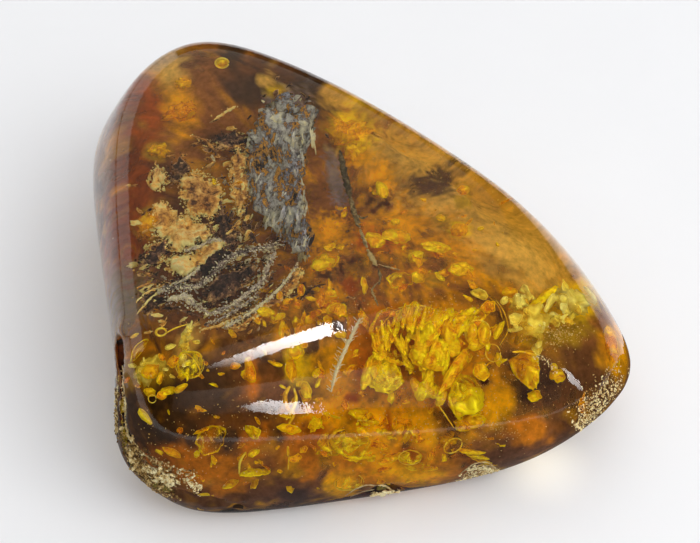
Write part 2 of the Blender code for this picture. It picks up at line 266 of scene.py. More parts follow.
class Shader(Nodes):
    """A Principled material."""

    def __init__(self, name, **sockets):
        self.material = bpy.data.materials.new(name)
        self.material.use_nodes = True
        super().__init__(self.material.node_tree, "Principled BSDF")
        for socket, value in sockets.items():
            self.main.inputs[socket.replace("_", " ")].default_value = value

    def noise(self, scale, detail=4.0, roughness=0.55, distortion=0.0, stretch=(1.0, 1.0, 1.0)):
        made = self.node("TexNoise")
        settings = {"Scale": scale, "Detail": detail, "Roughness": roughness, "Distortion": distortion}
        for key, value in settings.items():
            made.inputs[key].default_value = value
        place = self.node("TexCoord").outputs["Object"]
        self.link(self.maths("VectorMath", "MULTIPLY", place, stretch)[0], made.inputs["Vector"])
        return made.outputs["Fac"]

    def attribute(self, name, output="Fac"):
        return self.node("Attribute", attribute_name=name).outputs[output]

    def bump(self, height, distance):
        made = self.node("Bump")
        made.inputs["Distance"].default_value = distance
        self.link(height, made.inputs["Height"])
        self.link(made.outputs[0], "Normal")


WHITE, BLACK = (1.0, 1.0, 1.0, 1.0), (0.0, 0.0, 0.0, 1.0)
AMBER_PASSES, AMBER_DENSITY = (0.915, 0.785, 0.0, 1.0), 200.0
PAPER = (0.86, 0.865, 0.875), (0.88, 0.885, 0.895)


def amber_material():
    """Clear amber with a hand polish, coloured by what it absorbs on the way through."""
    shader = Shader("clear_amber", Transmission_Weight=1.0, IOR=IOR, Base_Color=WHITE)
    shader.link(shader.ramp(shader.noise(260.0), (0.35, 0.012), (0.7, 0.035)), "Roughness")
    shader.bump(shader.noise(900.0, 3.0), 0.01 * MM)
    absorb = shader.node("VolumeAbsorption")
    absorb.inputs["Color"].default_value = AMBER_PASSES
    absorb.inputs["Density"].default_value = AMBER_DENSITY
    shader.link(absorb.outputs[0], shader.nodes["Material Output"].inputs["Volume"])
    return shader.material


def floor_material():
    shader = Shader("pale_paper", Roughness=0.9)
    shader.link(shader.ramp(shader.noise(30.0), (0.3, PAPER[0]), (0.7, PAPER[1])), "Base Color")
    return shader.material


# deep, middle and pale colour, least cover, share of metal, roughness, grain, how late the cover sets in
SCALE_LOOKS = {
    "gold_scale": ((0.70, 0.20, 0.0), (1.0, 0.55, 0.0), (1.0, 0.85, 0.0), 0.45, 0.5, 0.34, 700.0, 0.0),
    "gold_film": ((0.60, 0.20, 0.0), (1.0, 0.50, 0.0), (1.0, 0.82, 0.0), 0.02, 0.5, 0.34, 700.0, 0.15),
    "gold_lump": ((0.45, 0.12, 0.0), (0.95, 0.42, 0.0), (1.0, 0.72, 0.0), 0.2, 0.3, 0.5, 500.0, 0.0),
    "pale_lump": ((1.0, 0.66, 0.04), (1.0, 0.86, 0.14), (1.0, 0.96, 0.40), 0.35, 0.5, 0.45, 300.0, 0.0),
    "gold_ribbon": ((0.70, 0.36, 0.0), (0.95, 0.65, 0.02), (1.0, 0.90, 0.15), 1.0, 0.5, 0.34, 700.0, 0.0),
    "dust": ((0.70, 0.46, 0.12), (0.85, 0.65, 0.3), (1.0, 0.9, 0.6), 1.0, 0.5, 0.34, 700.0, 0.0),
}


def scale_material(name):
    """Gas-filled scales and petals: mirror-like, brighter and denser along folds and at the rim."""
    deep, middle, pale, clear, mirror, roughness, grain, late = SCALE_LOOKS[name]
    shader = Shader(name, Roughness=roughness, Metallic=mirror, Specular_IOR_Level=0.3)
    tone, shade = shader.attribute("tone"), shader.attribute("shade")
    folds = shader.noise(grain, 4.0, 0.6, 1.0)
    rim = shader.ramp(tone, (0.84, 0.0), (0.97, 1.0))
    factor = shader.total((shade, 0.35), (folds, 1.0), (rim, 0.15))
    shader.link(shader.ramp(factor, (0.48, deep), (0.64, middle), (0.88, pale)), "Base Color")
    if clear < 1.0:
        cover = shader.total((folds, 0.9), (rim, 0.4), (shade, 0.15))
        shader.link(shader.ramp(cover, (0.42 + late, clear), (0.72 + late, 1.0)), "Alpha")
    shader.bump(folds, 0.25 * MM)
    return shader.material


def veil_material():
    """Cloudy matter round the stone's heart: painted colour and cover, broken up by noise."""
    shader = Shader("cloudy_matter", Roughness=0.7, Specular_IOR_Level=0.05)
    coarse, fine = shader.noise(260.0, 6.0, 0.65, 0.5), shader.noise(1500.0, 4.0, 0.6)
    grain = shader.ramp(shader.total((coarse, 0.65), (fine, 0.35)), (0.33, 0.42), (0.50, 0.95), (0.66, 1.5))
    paint = shader.attribute("paint", "Color")
    shader.link(shader.maths("VectorMath", "MULTIPLY", paint, grain)[0], "Base Color")
    cover = shader.total((shader.attribute("cover"), 1.0), (coarse, 0.9))
    shader.link(shader.ramp(cover, (0.45, 0.0), (1.15, 0.97)), "Alpha")
    return shader.material


EVEN, GRAINY = (1.0, 1.0, 1.0), 0.3 * MM
# grain and its stretch, weight of a form's rim, depth of the bumps, colours from deep to pale
MATTER_LOOKS = {
    "tan_bark": (520.0, EVEN, 0.12, GRAINY, [
        (0.56, (0.13, 0.06, 0.05)), (0.65, (0.60, 0.31, 0.14)), (0.75, (1.0, 0.68, 0.32)),
        (0.88, (1.0, 0.97, 0.74))]),
    "dark_bark": (900.0, EVEN, 0.18, GRAINY, [
        (0.58, (0.02, 0.012, 0.015)), (0.72, (0.09, 0.05, 0.06)), (0.84, (0.38, 0.22, 0.20)),
        (0.95, (0.9, 0.66, 0.5))]),
    "grit": (1500.0, EVEN, 0.0, GRAINY, [
        (0.56, (0.08, 0.06, 0.08)), (0.66, (0.40, 0.34, 0.48)), (0.76, (0.78, 0.74, 0.95)),
        (0.90, (1.0, 1.0, 1.0))]),
    "grey_wood": (480.0, (1.0, 0.5, 1.0), 0.0, 0.8 * MM, [
        (0.57, (0.04, 0.03, 0.04)), (0.62, (0.80, 0.42, 0.08)), (0.66, (0.10, 0.08, 0.12)),
        (0.72, (0.36, 0.38, 0.60)), (0.82, (0.74, 0.78, 1.0)), (0.94, (1.0, 1.0, 1.0))]),
    "twig_bark": (1600.0, EVEN, 0.0, GRAINY, [
        (0.55, (0.06, 0.05, 0.06)), (0.70, (0.26, 0.22, 0.22)), (0.88, (0.66, 0.60, 0.60))]),
    "pale_moss": (1200.0, EVEN, 0.0, GRAINY, [
        (0.50, (0.66, 0.62, 0.56)), (0.70, (0.9, 0.87, 0.84)), (0.90, (1.0, 1.0, 1.0))]),
    "rind": (1500.0, EVEN, 0.0, GRAINY, [
        (0.58, (0.09, 0.045, 0.015)), (0.68, (0.40, 0.24, 0.07)), (0.78, (0.80, 0.60, 0.26)),
        (0.90, (1.0, 0.90, 0.54))]),
}


def matter_material(name):
    """Rough plant matter or crust: colours over coarse and fine grain, each form's shade and its rim."""
    grain, stretch, rim, depth, stops = MATTER_LOOKS[name]
    shader = Shader(name, Roughness=0.85, Specular_IOR_Level=0.1)
    coarse = shader.noise(grain, 6.0, 0.65, 0.4, stretch)
    fine = shader.noise(grain * 4.0, 4.0, 0.7, 0.0, stretch)
    edge = shader.ramp(shader.attribute("tone"), (0.72, 0.0), (0.96, 1.0))
    factor = shader.total((coarse, 0.8), (fine, 0.4), (shader.attribute("shade"), 0.3), (edge, rim))
    shader.link(shader.ramp(factor, *stops), "Base Color")
    shader.bump(shader.total((coarse, 0.6), (fine, 0.4)), depth)
    return shader.material


# ---- camera and light ----------------------------------------------------------------------
def placed(name, data, *hidden_from):
    """A new object in the scene, unseen by the named kinds of ray."""
    item = bpy.data.objects.new(name, data)
    for kind in hidden_from:
        setattr(item, "visible_" + kind, False)
    bpy.context.scene.collection.objects.link(item)
    return item


def aimed(item, place, aim):
    item.location = place
    item.rotation_euler = (Vector(aim) - Vector(place)).to_track_quat("-Z", "Y").to_euler()


def add_camera():
    data = bpy.data.cameras.new("camera")
    data.lens, data.sensor_width, data.clip_start = LENS, SENSOR, CLIP_START
    camera = placed("camera", data)
    back = Vector((0.0, -math.cos(CAMERA_ELEVATION), math.sin(CAMERA_ELEVATION)))
    camera.location = CAMERA_AIM + back * CAMERA_DISTANCE
    camera.rotation_euler = (math.pi / 2 - CAMERA_ELEVATION, 0.0, 0.0)
    bpy.context.scene.camera = camera
    bpy.context.view_layer.update()
    return camera


WORLD_LIGHT = (0.45, 0.05, 0.90)          # where its light gathers
WORLD_STEPS = ((0.30, 0.22), (0.62, 0.42), (0.85, 0.80), (1.0, 1.0))   # half of 1 + cosine, radiance
WORLD_BLUE = 1.01
WORLD_STRENGTH = 1.15
WORLD_GLOSS = 0.12                        # its strength in the polish, where the cards take over


def add_world():
    """A dim room whose light gathers behind and to the right, overhead."""
    world = bpy.data.worlds.new("studio")
    world.use_nodes = True
    room = Nodes(world.node_tree, "Background")
    facing = room.maths("VectorMath", "DOT_PRODUCT", room.node("TexCoord").outputs["Generated"],
                        Vector(WORLD_LIGHT).normalized())["Value"]
    steps = [(place, (value, value, value * WORLD_BLUE)) for place, value in WORLD_STEPS]
    room.link(room.ramp(room.maths("Math", "MULTIPLY_ADD", facing, 0.5, 0.5)[0], *steps), "Color")
    ray = room.node("LightPath").outputs      # refracted rays count as glossy too, so both are asked for
    mirrored = room.maths("Math", "MULTIPLY", ray["Is Glossy Ray"], ray["Is Reflection Ray"])[0]
    dimmed = room.maths("Math", "MULTIPLY_ADD", mirrored, WORLD_GLOSS - WORLD_STRENGTH, WORLD_STRENGTH)
    room.link(dimmed[0], "Strength")
    bpy.context.scene.world = world


# Cards seen only in the polish: corners (m) and glow, from dark to the highlight's.
CARDS = {
    "window": [(-0.05, -0.18, 0.6, 0.03), (-0.009, -0.063, 0.6, 0.25), (0.005, 0.035, 0.6, 0.9),
               (0.014, 0.086, 0.6, 1.0), (0.022, 0.145, 0.6, 1.0), (0.062, -0.005, 0.6, 1.0),
               (0.062, -0.045, 0.6, 0.9), (0.05, -0.063, 0.6, 0.6), (0.046, -0.137, 0.6, 0.15),
               (0.028, -0.215, 0.6, 0.02)],
    "window_haze": [(-0.16, -0.30, 0.602, 0.0), (0.10, -0.26, 0.602, 0.010), (0.12, 0.10, 0.602, 0.02),
                    (0.0, 0.17, 0.602, 0.02), (-0.12, -0.02, 0.602, 0.010)],
    "back_haze": [(-0.60, 0.19, 0.602, 0.004), (0.0, 0.18, 0.602, 0.010), (0.30, 0.16, 0.602, 0.006),
                  (0.40, 1.5, 0.602, 0.020), (-0.80, 1.5, 0.602, 0.026)],
    "front_window": [(0.19, -1.0, 0.45, 0.15), (0.25, -1.0, 0.52, 0.5), (0.31, -1.0, 0.46, 0.5),
                     (0.30, -1.0, 0.31, 0.4), (0.25, -1.0, 0.33, 0.5), (0.20, -1.0, 0.39, 0.15)],
    "right_window": [(1.0, -0.44, 0.73, 0.15), (1.0, -0.39, 0.60, 0.4), (1.0, -0.46, 0.38, 0.35),
                     (1.0, -0.57, 0.25, 0.05), (1.0, -0.55, 0.40, 0.35), (1.0, -0.48, 0.60, 0.4)],
    "front_glow": [(-0.5, -1.1, 0.40, 0.004), (0.5, -1.1, 0.40, 0.012), (0.5, -1.1, 0.95, 0.03),
                   (-0.5, -1.1, 0.95, 0.012)],
    "left_glow": [(-0.9, 0.1, 0.05, 0.04), (-0.35, 1.1, 0.05, 0.04), (-0.35, 1.1, 0.75, 0.05),
                  (-0.9, 0.1, 0.75, 0.05)],
    "front_flag": [(-0.030, -0.010, 0.001, 0.012), (-0.09, -0.014, 0.001, 0.006),
                   (-0.12, -0.2, 0.001, 0.014), (0.25, -0.2, 0.001, 0.0), (0.10, 0.0, 0.001, 0.0),
                   (0.036, -0.002, 0.001, 0.0), (0.0, -0.020, 0.001, 0.005)],
}
CARD_RADIANCE = 26.0
KEY_PLACE, KEY_SIZE, KEY_RADIANCE = (0.42, -0.25, 0.50), 0.45, 2.9
# a narrow warm light where the stone gathers light on the floor
GLEAM_PLACE, GLEAM_AIM, GLEAM_RADIUS = (0.08, -0.14, 0.26), (0.0226, -0.0220, 0.0), 0.004
GLEAM_WATTS, GLEAM_ANGLE, GLEAM_COLOUR = 2.4, math.radians(1.9), (1.0, 0.90, 0.66)
FLOOR_REACH, FLOOR_LEVEL = 1.5, -0.2 * MM


def add_floor_gleam():
    data = bpy.data.lights.new("floor_gleam", "SPOT")
    data.energy, data.color, data.shadow_soft_size = GLEAM_WATTS, GLEAM_COLOUR, GLEAM_RADIUS
    data.spot_size, data.spot_blend = GLEAM_ANGLE, 1.0
    aimed(placed("floor_gleam", data, "camera", "glossy", "transmission"), GLEAM_PLACE, GLEAM_AIM)


def add_key():
    """A square softbox whose face has the given radiance."""
    data = bpy.data.lights.new("key", "AREA")
    data.shape, data.size = "SQUARE", KEY_SIZE
    data.energy = KEY_RADIANCE * math.pi * KEY_SIZE ** 2
    aimed(placed("key", data, "camera", "glossy"), KEY_PLACE, (0.0, 0.0, 0.0))


def add_cards():
    shader = Shader("card", Base_Color=BLACK, Roughness=1.0, Emission_Strength=CARD_RADIANCE)
    shader.link(shader.attribute("glow", "Color"), "Emission Color")
    for name, corners in CARDS.items():
        mesh = bpy.data.meshes.new(name)
        mesh.from_pydata([corner[:3] for corner in corners], [], [range(len(corners))])
        glow = mesh.attributes.new("glow", "FLOAT", "POINT")
        glow.data.foreach_set("value", [corner[3] for corner in corners])
        mesh.materials.append(shader.material)
        card = placed(name, mesh, "camera", "diffuse", "transmission", "shadow", "volume_scatter")
        card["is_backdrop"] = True


def add_floor():
    mesh = bpy.data.meshes.new("floor")
    corners = ((-1, -1), (1, -1), (1, 1), (-1, 1))
    mesh.from_pydata([(x * FLOOR_REACH, y * FLOOR_REACH, FLOOR_LEVEL) for x, y in corners], [], [range(4)])
    mesh.materials.append(floor_material())
    floor = placed("floor", mesh)
    floor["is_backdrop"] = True


# ---- pieces --------------------------------------------------------------------------------
def add_piece(name, form, material, slot, *nodes):
    """A piece of the part on its only body; the form is a mesh or a Shape."""
    mesh = form.mesh(name) if isinstance(form, Shape) else form
    mesh.shade_smooth()
    mesh.materials.append(material)
    piece = placed(name, mesh)
    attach(piece, "root")
    if nodes:
        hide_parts(*nodes)
    return piece


def sphere():
    """A bmesh ball, and its vertices' directions, squashed so that they gather round the stone's edge."""
    bm = bmesh.new()
    bmesh.ops.create_icosphere(bm, subdivisions=SPHERE_LEVEL, radius=1.0)
    directions = np.array([vert.co for vert in bm.verts])
    directions[:, 2] *= SPHERE_SQUASH
    return bm, directions / np.linalg.norm(directions, axis=1)[:, None]


def stone_mesh():
    """The stone as a bmesh, cut flat where it rests."""
    bm, directions = sphere()
    for vert, place in zip(bm.verts, stone_points(directions)):
        vert.co = place
    geometry = bm.verts[:] + bm.edges[:] + bm.faces[:]
    bmesh.ops.bisect_plane(bm, geom=geometry, plane_co=(0, 0, 0), plane_no=(0, 0, -1), clear_outer=True)
    bmesh.ops.edgeloop_fill(bm, edges=[edge for edge in bm.edges if edge.is_boundary])
    bmesh.ops.recalc_face_normals(bm, faces=bm.faces[:])
    return bm


def add_stone(bm):
    mesh = bpy.data.meshes.new("clear_stone")
    bm.to_mesh(mesh)
    stone = add_piece("clear_stone", mesh, amber_material(), "amber", "amber_cap", "amber_base")
    mesh.set_sharp_from_angle(angle=STONE_SHARP)
    stone.visible_shadow = False      # light reaches the matter sealed inside, which shades the floor instead


# ---- places inside the stone, seen through its surface ------------------------------------------
RIGHT = Vector((1.0, 0.0, 0.0))
UP = Vector((0.0, math.sin(CAMERA_ELEVATION), math.cos(CAMERA_ELEVATION)))
TOWARD = RIGHT.cross(UP)
PROBE_STEP = 0.3 * MM                     # between the points that measure the slope of the polish
STEP_BACK = 0.01                          # share of the way to the middle, for a pixel off the stone


class Sight:
    """Finds points inside the stone that the main view shows at a pixel."""

    def __init__(self, bm, camera):
        self.tree = BVHTree.FromBMesh(bm)
        self.eye = camera.location.copy()

    def ray(self, x, y):
        across = (x - IMAGE_WIDTH / 2) / IMAGE_WIDTH * SENSOR / LENS
        down = (y - IMAGE_HEIGHT / 2) / IMAGE_WIDTH * SENSOR / LENS
        return (RIGHT * across - UP * down - TOWARD).normalized()

    def surface(self, x, y):
        """Point and outward normal where the pixel's ray enters the stone."""
        place = self.tree.ray_cast(self.eye, self.ray(x, y))[0]
        if place is None:
            raise ValueError(f"pixel {x}, {y} is off the stone")
        steps = np.vstack([np.eye(3), -np.eye(3)]) * PROBE_STEP
        offsets = np.array(place - CORE) + steps
        lengths = np.linalg.norm(offsets, axis=1)
        smooth = stone_points(offsets / lengths[:, None], relief=False)
        reach = np.linalg.norm(smooth - np.array(CORE), axis=1)
        level = lengths / reach
        return place, Vector(level[:3] - level[3:]).normalized()

    def inward(self, x, y):
        """Entry point and refracted direction of the pixel's ray, or of the nearest one on the stone."""
        while self.tree.ray_cast(self.eye, self.ray(x, y))[0] is None:
            x, y = between((x, y), STONE_MIDDLE, STEP_BACK)
        place, normal = self.surface(x, y)
        ray = self.ray(x, y)
        facing = -ray.dot(normal)
        bend = facing / IOR - math.sqrt(1.0 - (1.0 - facing ** 2) / IOR ** 2)
        return place, (ray / IOR + normal * bend).normalized()

    def behind(self, x, y, depth):
        """The point `depth` mm inside the stone along the pixel's refracted ray."""
        place, ray = self.inward(x, y)
        return place + ray * depth * MM

    def holds(self, place, margin):
        """Whether a point is inside the stone with a margin to spare."""
        offset = place - CORE
        reach = np.linalg.norm(stone_points(np.array([offset.normalized()])) - np.array(CORE))
        return offset.length < reach - margin

    def on_bed(self, x, y, depth):
        """Where the pixel's refracted ray meets the plane `depth` mm below the top facet, in BED's mm."""
        place, ray = self.inward(x, y)
        to_bed = BED.inverted()
        start, along = to_bed @ place, to_bed.to_3x3() @ ray
        reach = (-depth * MM - start.z) / along.z
        return (start + along * reach).xy / MM

    def in_bed(self, x, y, depth):
        """The same place as a point of the scene."""
        return bed_point(self.on_bed(x, y, depth), -depth)


def clamped(value):
    return min(max(value, 0.0), 1.0)


def between(start, end, share):
    return tuple(a + (b - a) * share for a, b in zip(start, end))


def facet_frame(name):
    """A frame on a facet: X level, Y up the slope, Z along the normal."""
    normal = facet_normal(name)
    level = Vector((0.0, 0.0, 1.0)).cross(normal).normalized()
    slope = normal.cross(level)
    origin = CORE + normal * (FACETS[name][2] * MM)
    return Matrix.Translation(origin) @ Matrix((level, slope, normal)).transposed().to_4x4()


BED = facet_frame("top")


def bed_point(spot, height):
    """A point of the scene from one of the bed's, `height` mm above the top facet."""
    return BED @ (Vector((spot.x, spot.y, height)) * MM)


# ---- shapes --------------------------------------------------------------------------------
class Shape:
    """Joined closed forms, with two numbers a vertex for the material: tone (across a form) and shade."""

    def __init__(self):
        self.points, self.faces, self.tones, self.shades = [], [], [], []

    def add(self, points, faces, tones, shade):
        start = len(self.points)
        self.points.extend(points)
        self.faces.extend([start + corner for corner in face] for face in faces)
        self.tones.extend(tones)
        self.shades.extend([shade] * len(points))

    def mesh(self, name):
        mesh = bpy.data.meshes.new(name)
        mesh.from_pydata([tuple(point) for point in self.points], [], self.faces)
        for key, values in (("tone", self.tones), ("shade", self.shades)):
            mesh.attributes.new(key, "FLOAT", "POINT").data.foreach_set("value", values)
        mesh.validate()
        return mesh


def ring_faces(rings, count, start, flip):
    """Faces of a disc: vertex `start` is the middle, then `rings` loops of `count`."""
    faces = []
    for index in range(count):
        after = (index + 1) % count
        faces.append((start, start + 1 + index, start + 1 + after))
        for ring in range(rings - 1):
            inner, outer = start + 1 + ring * count, start + 1 + (ring + 1) * count
            faces.append((inner + index, outer + index, outer + after, inner + after))
    return [face[::-1] for face in faces] if flip else faces


def shell(shape, outline, rings, place_at, thickness_at, shade):
    """A closed thin shell over an outline (points around (0, 0)); place_at gives its middle surface."""
    count = len(outline)
    points, tones = [], []
    for side in (0.5, -0.5):
        for ring in range(rings + 1):
            reach = ring / rings
            for x, y in (outline if ring else [(0.0, 0.0)]):
                middle, normal = place_at(x * reach, y * reach, reach)
                points.append(middle + normal * side * thickness_at(reach))
                tones.append(reach)
    half = 1 + rings * count
    faces = ring_faces(rings, count, 0, False) + ring_faces(rings, count, half, True)
    rim = 1 + (rings - 1) * count
    for index in range(count):
        after = (index + 1) % count
        faces.append((rim + index, half + rim + index, half + rim + after, rim + after))
    shape.add(points, faces, tones, shade)


def turned(frame, degrees):
    """The frame's axes turned about its third."""
    across, up, out = frame
    angle = math.radians(degrees)
    return (across * math.cos(angle) + up * math.sin(angle),
            up * math.cos(angle) - across * math.sin(angle), out)


def leaned(frame, lean, roll):
    """The frame's axes leaned about its second axis and rolled about its first (degrees)."""
    across, up, out = frame
    tip = Matrix.Rotation(math.radians(lean), 3, up) @ Matrix.Rotation(math.radians(roll), 3, across)
    return tip @ across, tip @ up, tip @ out


FACING = (RIGHT, UP, TOWARD)
HALF_WAY = Vector((0.2, -0.34, 0.92)).normalized()     # between the eye and the key light, in the stone
SPANGLED = (UP.cross(HALF_WAY).normalized(), HALF_WAY.cross(UP.cross(HALF_WAY)).normalized(), HALF_WAY)
CRUMPLE, PETAL_RIM, RIPPLE, FOLD = 0.30, 0.12, 0.05, 0.10      # shares of a petal's half width
RIM_REACH, RIM_WIDTH = 0.93, 0.08                      # where a petal thickens, in shares of its reach
# above a half length (px): points round a petal and rings
PETAL_GRIDS = ((12, (36, 7)), (7, (20, 4)), (0, (14, 3)))


def petal(shape, place, frame, length, width, cup=0.3, taper=0.0, ripples=2.0, seed=0.0, shade=0.5,
          torn=0.16):
    """A dished scale: half length and half width in pixels, cup as a share of the half width."""
    across, up, out = frame
    count, rings = next(grid for least, grid in PETAL_GRIDS if length > least)
    folds = 3 + int(seed * 7) % 4
    outline = []
    for index in range(count):
        angle = 2 * math.pi * index / count
        x, y = math.cos(angle), math.sin(angle)
        wander = 1.0 + torn * noise.noise(Vector((x * 1.2, y * 1.2, seed * 3.7)))
        wander += torn * noise.noise(Vector((x * 3.5, y * 3.5, seed)))
        outline.append((x * length * wander, y * width * wander * (1.0 - taper * x)))
    size = min(length, width)

    def place_at(x, y, reach):
        angle = math.atan2(y / width, x / length)
        height = cup * (1.0 - reach ** 2) + RIPPLE * math.cos(reach * ripples * 2 * math.pi)
        height += FOLD * reach * math.sin(folds * angle + seed)
        height += CRUMPLE * noise.fractal(Vector((x / size, y / size, seed)) * 1.3, 0.8, 2.0, 4)
        return place + (across * x + up * y + out * height * size) * PIXEL, out

    def thickness_at(reach):
        edge = math.exp(-((reach - RIM_REACH) / RIM_WIDTH) ** 2)
        return (0.5 + PETAL_RIM * size * 0.35 * edge) * PIXEL * (0.5 if reach > 0.99 else 1.0)

    shell(shape, outline, rings, place_at, thickness_at, shade)


def unit_ball(level):
    bm = bmesh.new()
    bmesh.ops.create_icosphere(bm, subdivisions=level, radius=1.0)
    points = [vert.co.copy() for vert in bm.verts]
    faces = [[vert.index for vert in face.verts] for face in bm.faces]
    bm.free()
    return points, faces


SPECK_BALL, BLOB_BALL = unit_ball(1), unit_ball(3)


def blob(shape, place, frame, radii, rough, grain, seed, shade):
    """A lumpy closed form; radii in pixels."""
    across, up, out = frame
    points, faces = BLOB_BALL
    placed_at, tones = [], []
    for point in points:
        lump = noise.fractal(point * grain + Vector((seed, seed * 0.7, 0.0)), 0.7, 2.0, 4)
        spread = point * (1.0 + rough * lump)
        offset = across * spread.x * radii[0] + up * spread.y * radii[1] + out * spread.z * radii[2]
        placed_at.append(place + offset * PIXEL)
        tones.append(clamped(0.5 + 0.5 * lump))
    shape.add(placed_at, faces, tones, shade)


def speck(shape, place, axes, pull, size, shade):
    """A small ball of a size in metres, pulled along the first axis by its reach along the second."""
    points, faces = SPECK_BALL
    spread = [place + (point + axes[0] * point.dot(axes[1]) * pull) * size for point in points]
    shape.add(spread, faces, [0.5] * len(points), shade)


def grain(shape, place, size, rng, shade):
    """A small angular lump with random axes; size in pixels."""
    axes = [Vector(rng.uniform(-1, 1) for _ in range(3)) for _ in range(2)]
    speck(shape, place, axes, 0.8, size * PIXEL, shade)


def smooth_path(points, steps):
    """Catmull-Rom points through the given ones."""
    ends = [points[0] * 2 - points[1], *points, points[-1] * 2 - points[-2]]
    path = []
    for a, b, c, d in zip(ends, ends[1:], ends[2:], ends[3:]):
        for step in range(steps):
            t = step / steps
            path.append(0.5 * (2 * b + (c - a) * t + (2 * a - 5 * b + 4 * c - d) * t * t
                               + (3 * b - a - 3 * c + d) * t ** 3))
    return path + [points[-1]]


TUBE_LUMPS = 2600.0          # noise scale of a rough tube, a metre


def tube(shape, path, radius_at, sides=7, rough=0.0, flat=1.0, seed=0.0, shade=0.5):
    """A closed tube along points; radius_at(share along) is in metres."""
    count = len(path)
    points, tones = [], []
    side_axis = None
    for index, middle in enumerate(path):
        along = (path[min(index + 1, count - 1)] - path[max(index - 1, 0)]).normalized()
        if side_axis is None:
            side_axis = along.cross(TOWARD if abs(along.dot(TOWARD)) < 0.9 else UP).normalized()
        side_axis = (side_axis - along * side_axis.dot(along)).normalized()
        other = along.cross(side_axis)
        for side in range(sides):
            angle = 2 * math.pi * side / sides
            ray = side_axis * math.cos(angle) + other * math.sin(angle) * flat
            lump = noise.noise(middle * TUBE_LUMPS + ray * 1.2 + Vector((seed, 0.0, 0.0))) if rough else 0.0
            points.append(middle + ray * radius_at(index / (count - 1)) * (1.0 + rough * lump))
            tones.append(clamped(0.5 + 0.5 * lump) if rough else index / (count - 1))
    faces = []
    for index in range(count - 1):
        for side in range(sides):
            after = (side + 1) % sides
            a, b = index * sides, (index + 1) * sides
            faces.append((a + side, a + after, b + after, b + side))
    faces.append(tuple(range(sides))[::-1])
    faces.append(tuple((count - 1) * sides + side for side in range(sides)))
    shape.add(points, faces, tones, shade)


def tapering(width, start=0.15, end=0.15):
    """Radius along a tube: full in the middle, thin at its ends."""
    def radius_at(share):
        swell = math.sqrt(max(math.sin(math.pi * clamped(share)), 0.0))
        floor = start + (end - start) * share
        return width * (floor + (1.0 - floor) * swell) * PIXEL
    return radius_at


def ragged(outline, parts, tear, seed):
    """More points along an outline in mm, pushed in and out at two scales."""
    count, points = len(outline), []
    for index in range(count):
        start, end = Vector(outline[index]), Vector(outline[(index + 1) % count])
        outward = Vector((end.y - start.y, start.x - end.x)).normalized()
        for part in range(parts):
            point = start.lerp(end, part / parts)
            wide = noise.noise(Vector((point.x, point.y, seed)) * 0.9)
            fine = noise.noise(Vector((point.x, point.y, seed)) * 3.7)
            points.append(point + outward * tear * (wide + 0.5 * fine))
    return points


SLAB_PARTS, SLAB_RINGS = 10, 16          # points along each side of a slab's outline, rings to its middle


def slab(shape, outline, depth, half_thickness, relief, tear, seed, shade):
    """A torn slab in the bed: outline in the bed's mm, relief(x, y) in mm, `depth` mm below the top facet."""
    edge = ragged(outline, SLAB_PARTS, tear, seed)
    middle = sum(edge, Vector((0.0, 0.0))) / len(edge)
    out = BED.to_3x3() @ Vector((0.0, 0.0, 1.0))

    def place_at(x, y, reach):
        spot = middle + Vector((x, y))
        return bed_point(spot, relief(spot.x, spot.y) - depth), out

    def thickness_at(reach):
        return 2 * half_thickness * MM * (0.2 + 0.8 * math.sqrt(max(1.0 - reach ** 3, 0.0)))

    shell(shape, [point - middle for point in edge], SLAB_RINGS, place_at, thickness_at, shade)


# ---- gold scales, petals and clouds -----------------------------------------------------------
# centre x and y, half length and half width (px), turn (degrees, anticlockwise), depth (mm), cup, taper
CLUSTER_PETALS = [
    (385, 375, 17, 15, 100, 3.2, -0.5, 0.25),
    (388, 379, 5, 4, 0, 2.8, 0.6, 0.0),
    (368, 372, 17, 5, 72, 3.0, 0.5, 0.2),
    (376, 366, 15, 4, 68, 3.4, 0.5, 0.1),
    (420, 352, 13, 9, 60, 3.0, 0.7, 0.2),
    (428, 337, 14, 8, 75, 3.3, 0.6, 0.2),
    (436, 326, 15, 7, 62, 3.6, 0.6, 0.0),
    (448, 330, 13, 8, 80, 3.5, 0.6, 0.1),
    (431, 361, 10, 8, 30, 2.6, 0.8, 0.0),
    (441, 350, 14, 8, 70, 3.0, 0.6, 0.2),
    (453, 345, 12, 7, 95, 3.4, 0.5, 0.0),
    (440, 366, 9, 6, 10, 2.8, 0.7, 0.0),
    (424, 391, 11, 8, 50, 2.4, 0.9, -0.2),
    (416, 386, 9, 5, 110, 2.6, 0.7, 0.0),
    (435, 392, 9, 7, 120, 2.7, 0.8, 0.0),
    (441, 398, 8, 5, 60, 2.8, 0.8, 0.0),
    (454, 372, 27, 6, 58, 2.3, 0.7, -0.25),
    (472, 334, 10, 5, 75, 2.9, 0.8, 0.0),
    (484, 333, 12, 6, 80, 2.7, 0.9, 0.1),
    (478, 344, 10, 5, 20, 2.8, 0.6, 0.0),
    (499, 330, 10, 3.5, 60, 3.0, 0.8, 0.2),
    (481, 371, 10, 8, 90, 2.6, -0.6, 0.0),
    (466, 398, 20, 16, 120, 3.2, 0.5, 0.1),
    (459, 405, 12, 9, 100, 2.6, 0.6, 0.0),
    (469, 422, 15, 8, 10, 2.9, 0.5, 0.0),
    (462, 318, 12, 4, 15, 3.8, 0.6, 0.0),
    (468, 312, 9, 3, 25, 3.8, 0.6, 0.0),
    (447, 316, 11, 5, 35, 3.9, 0.5, 0.0),
]
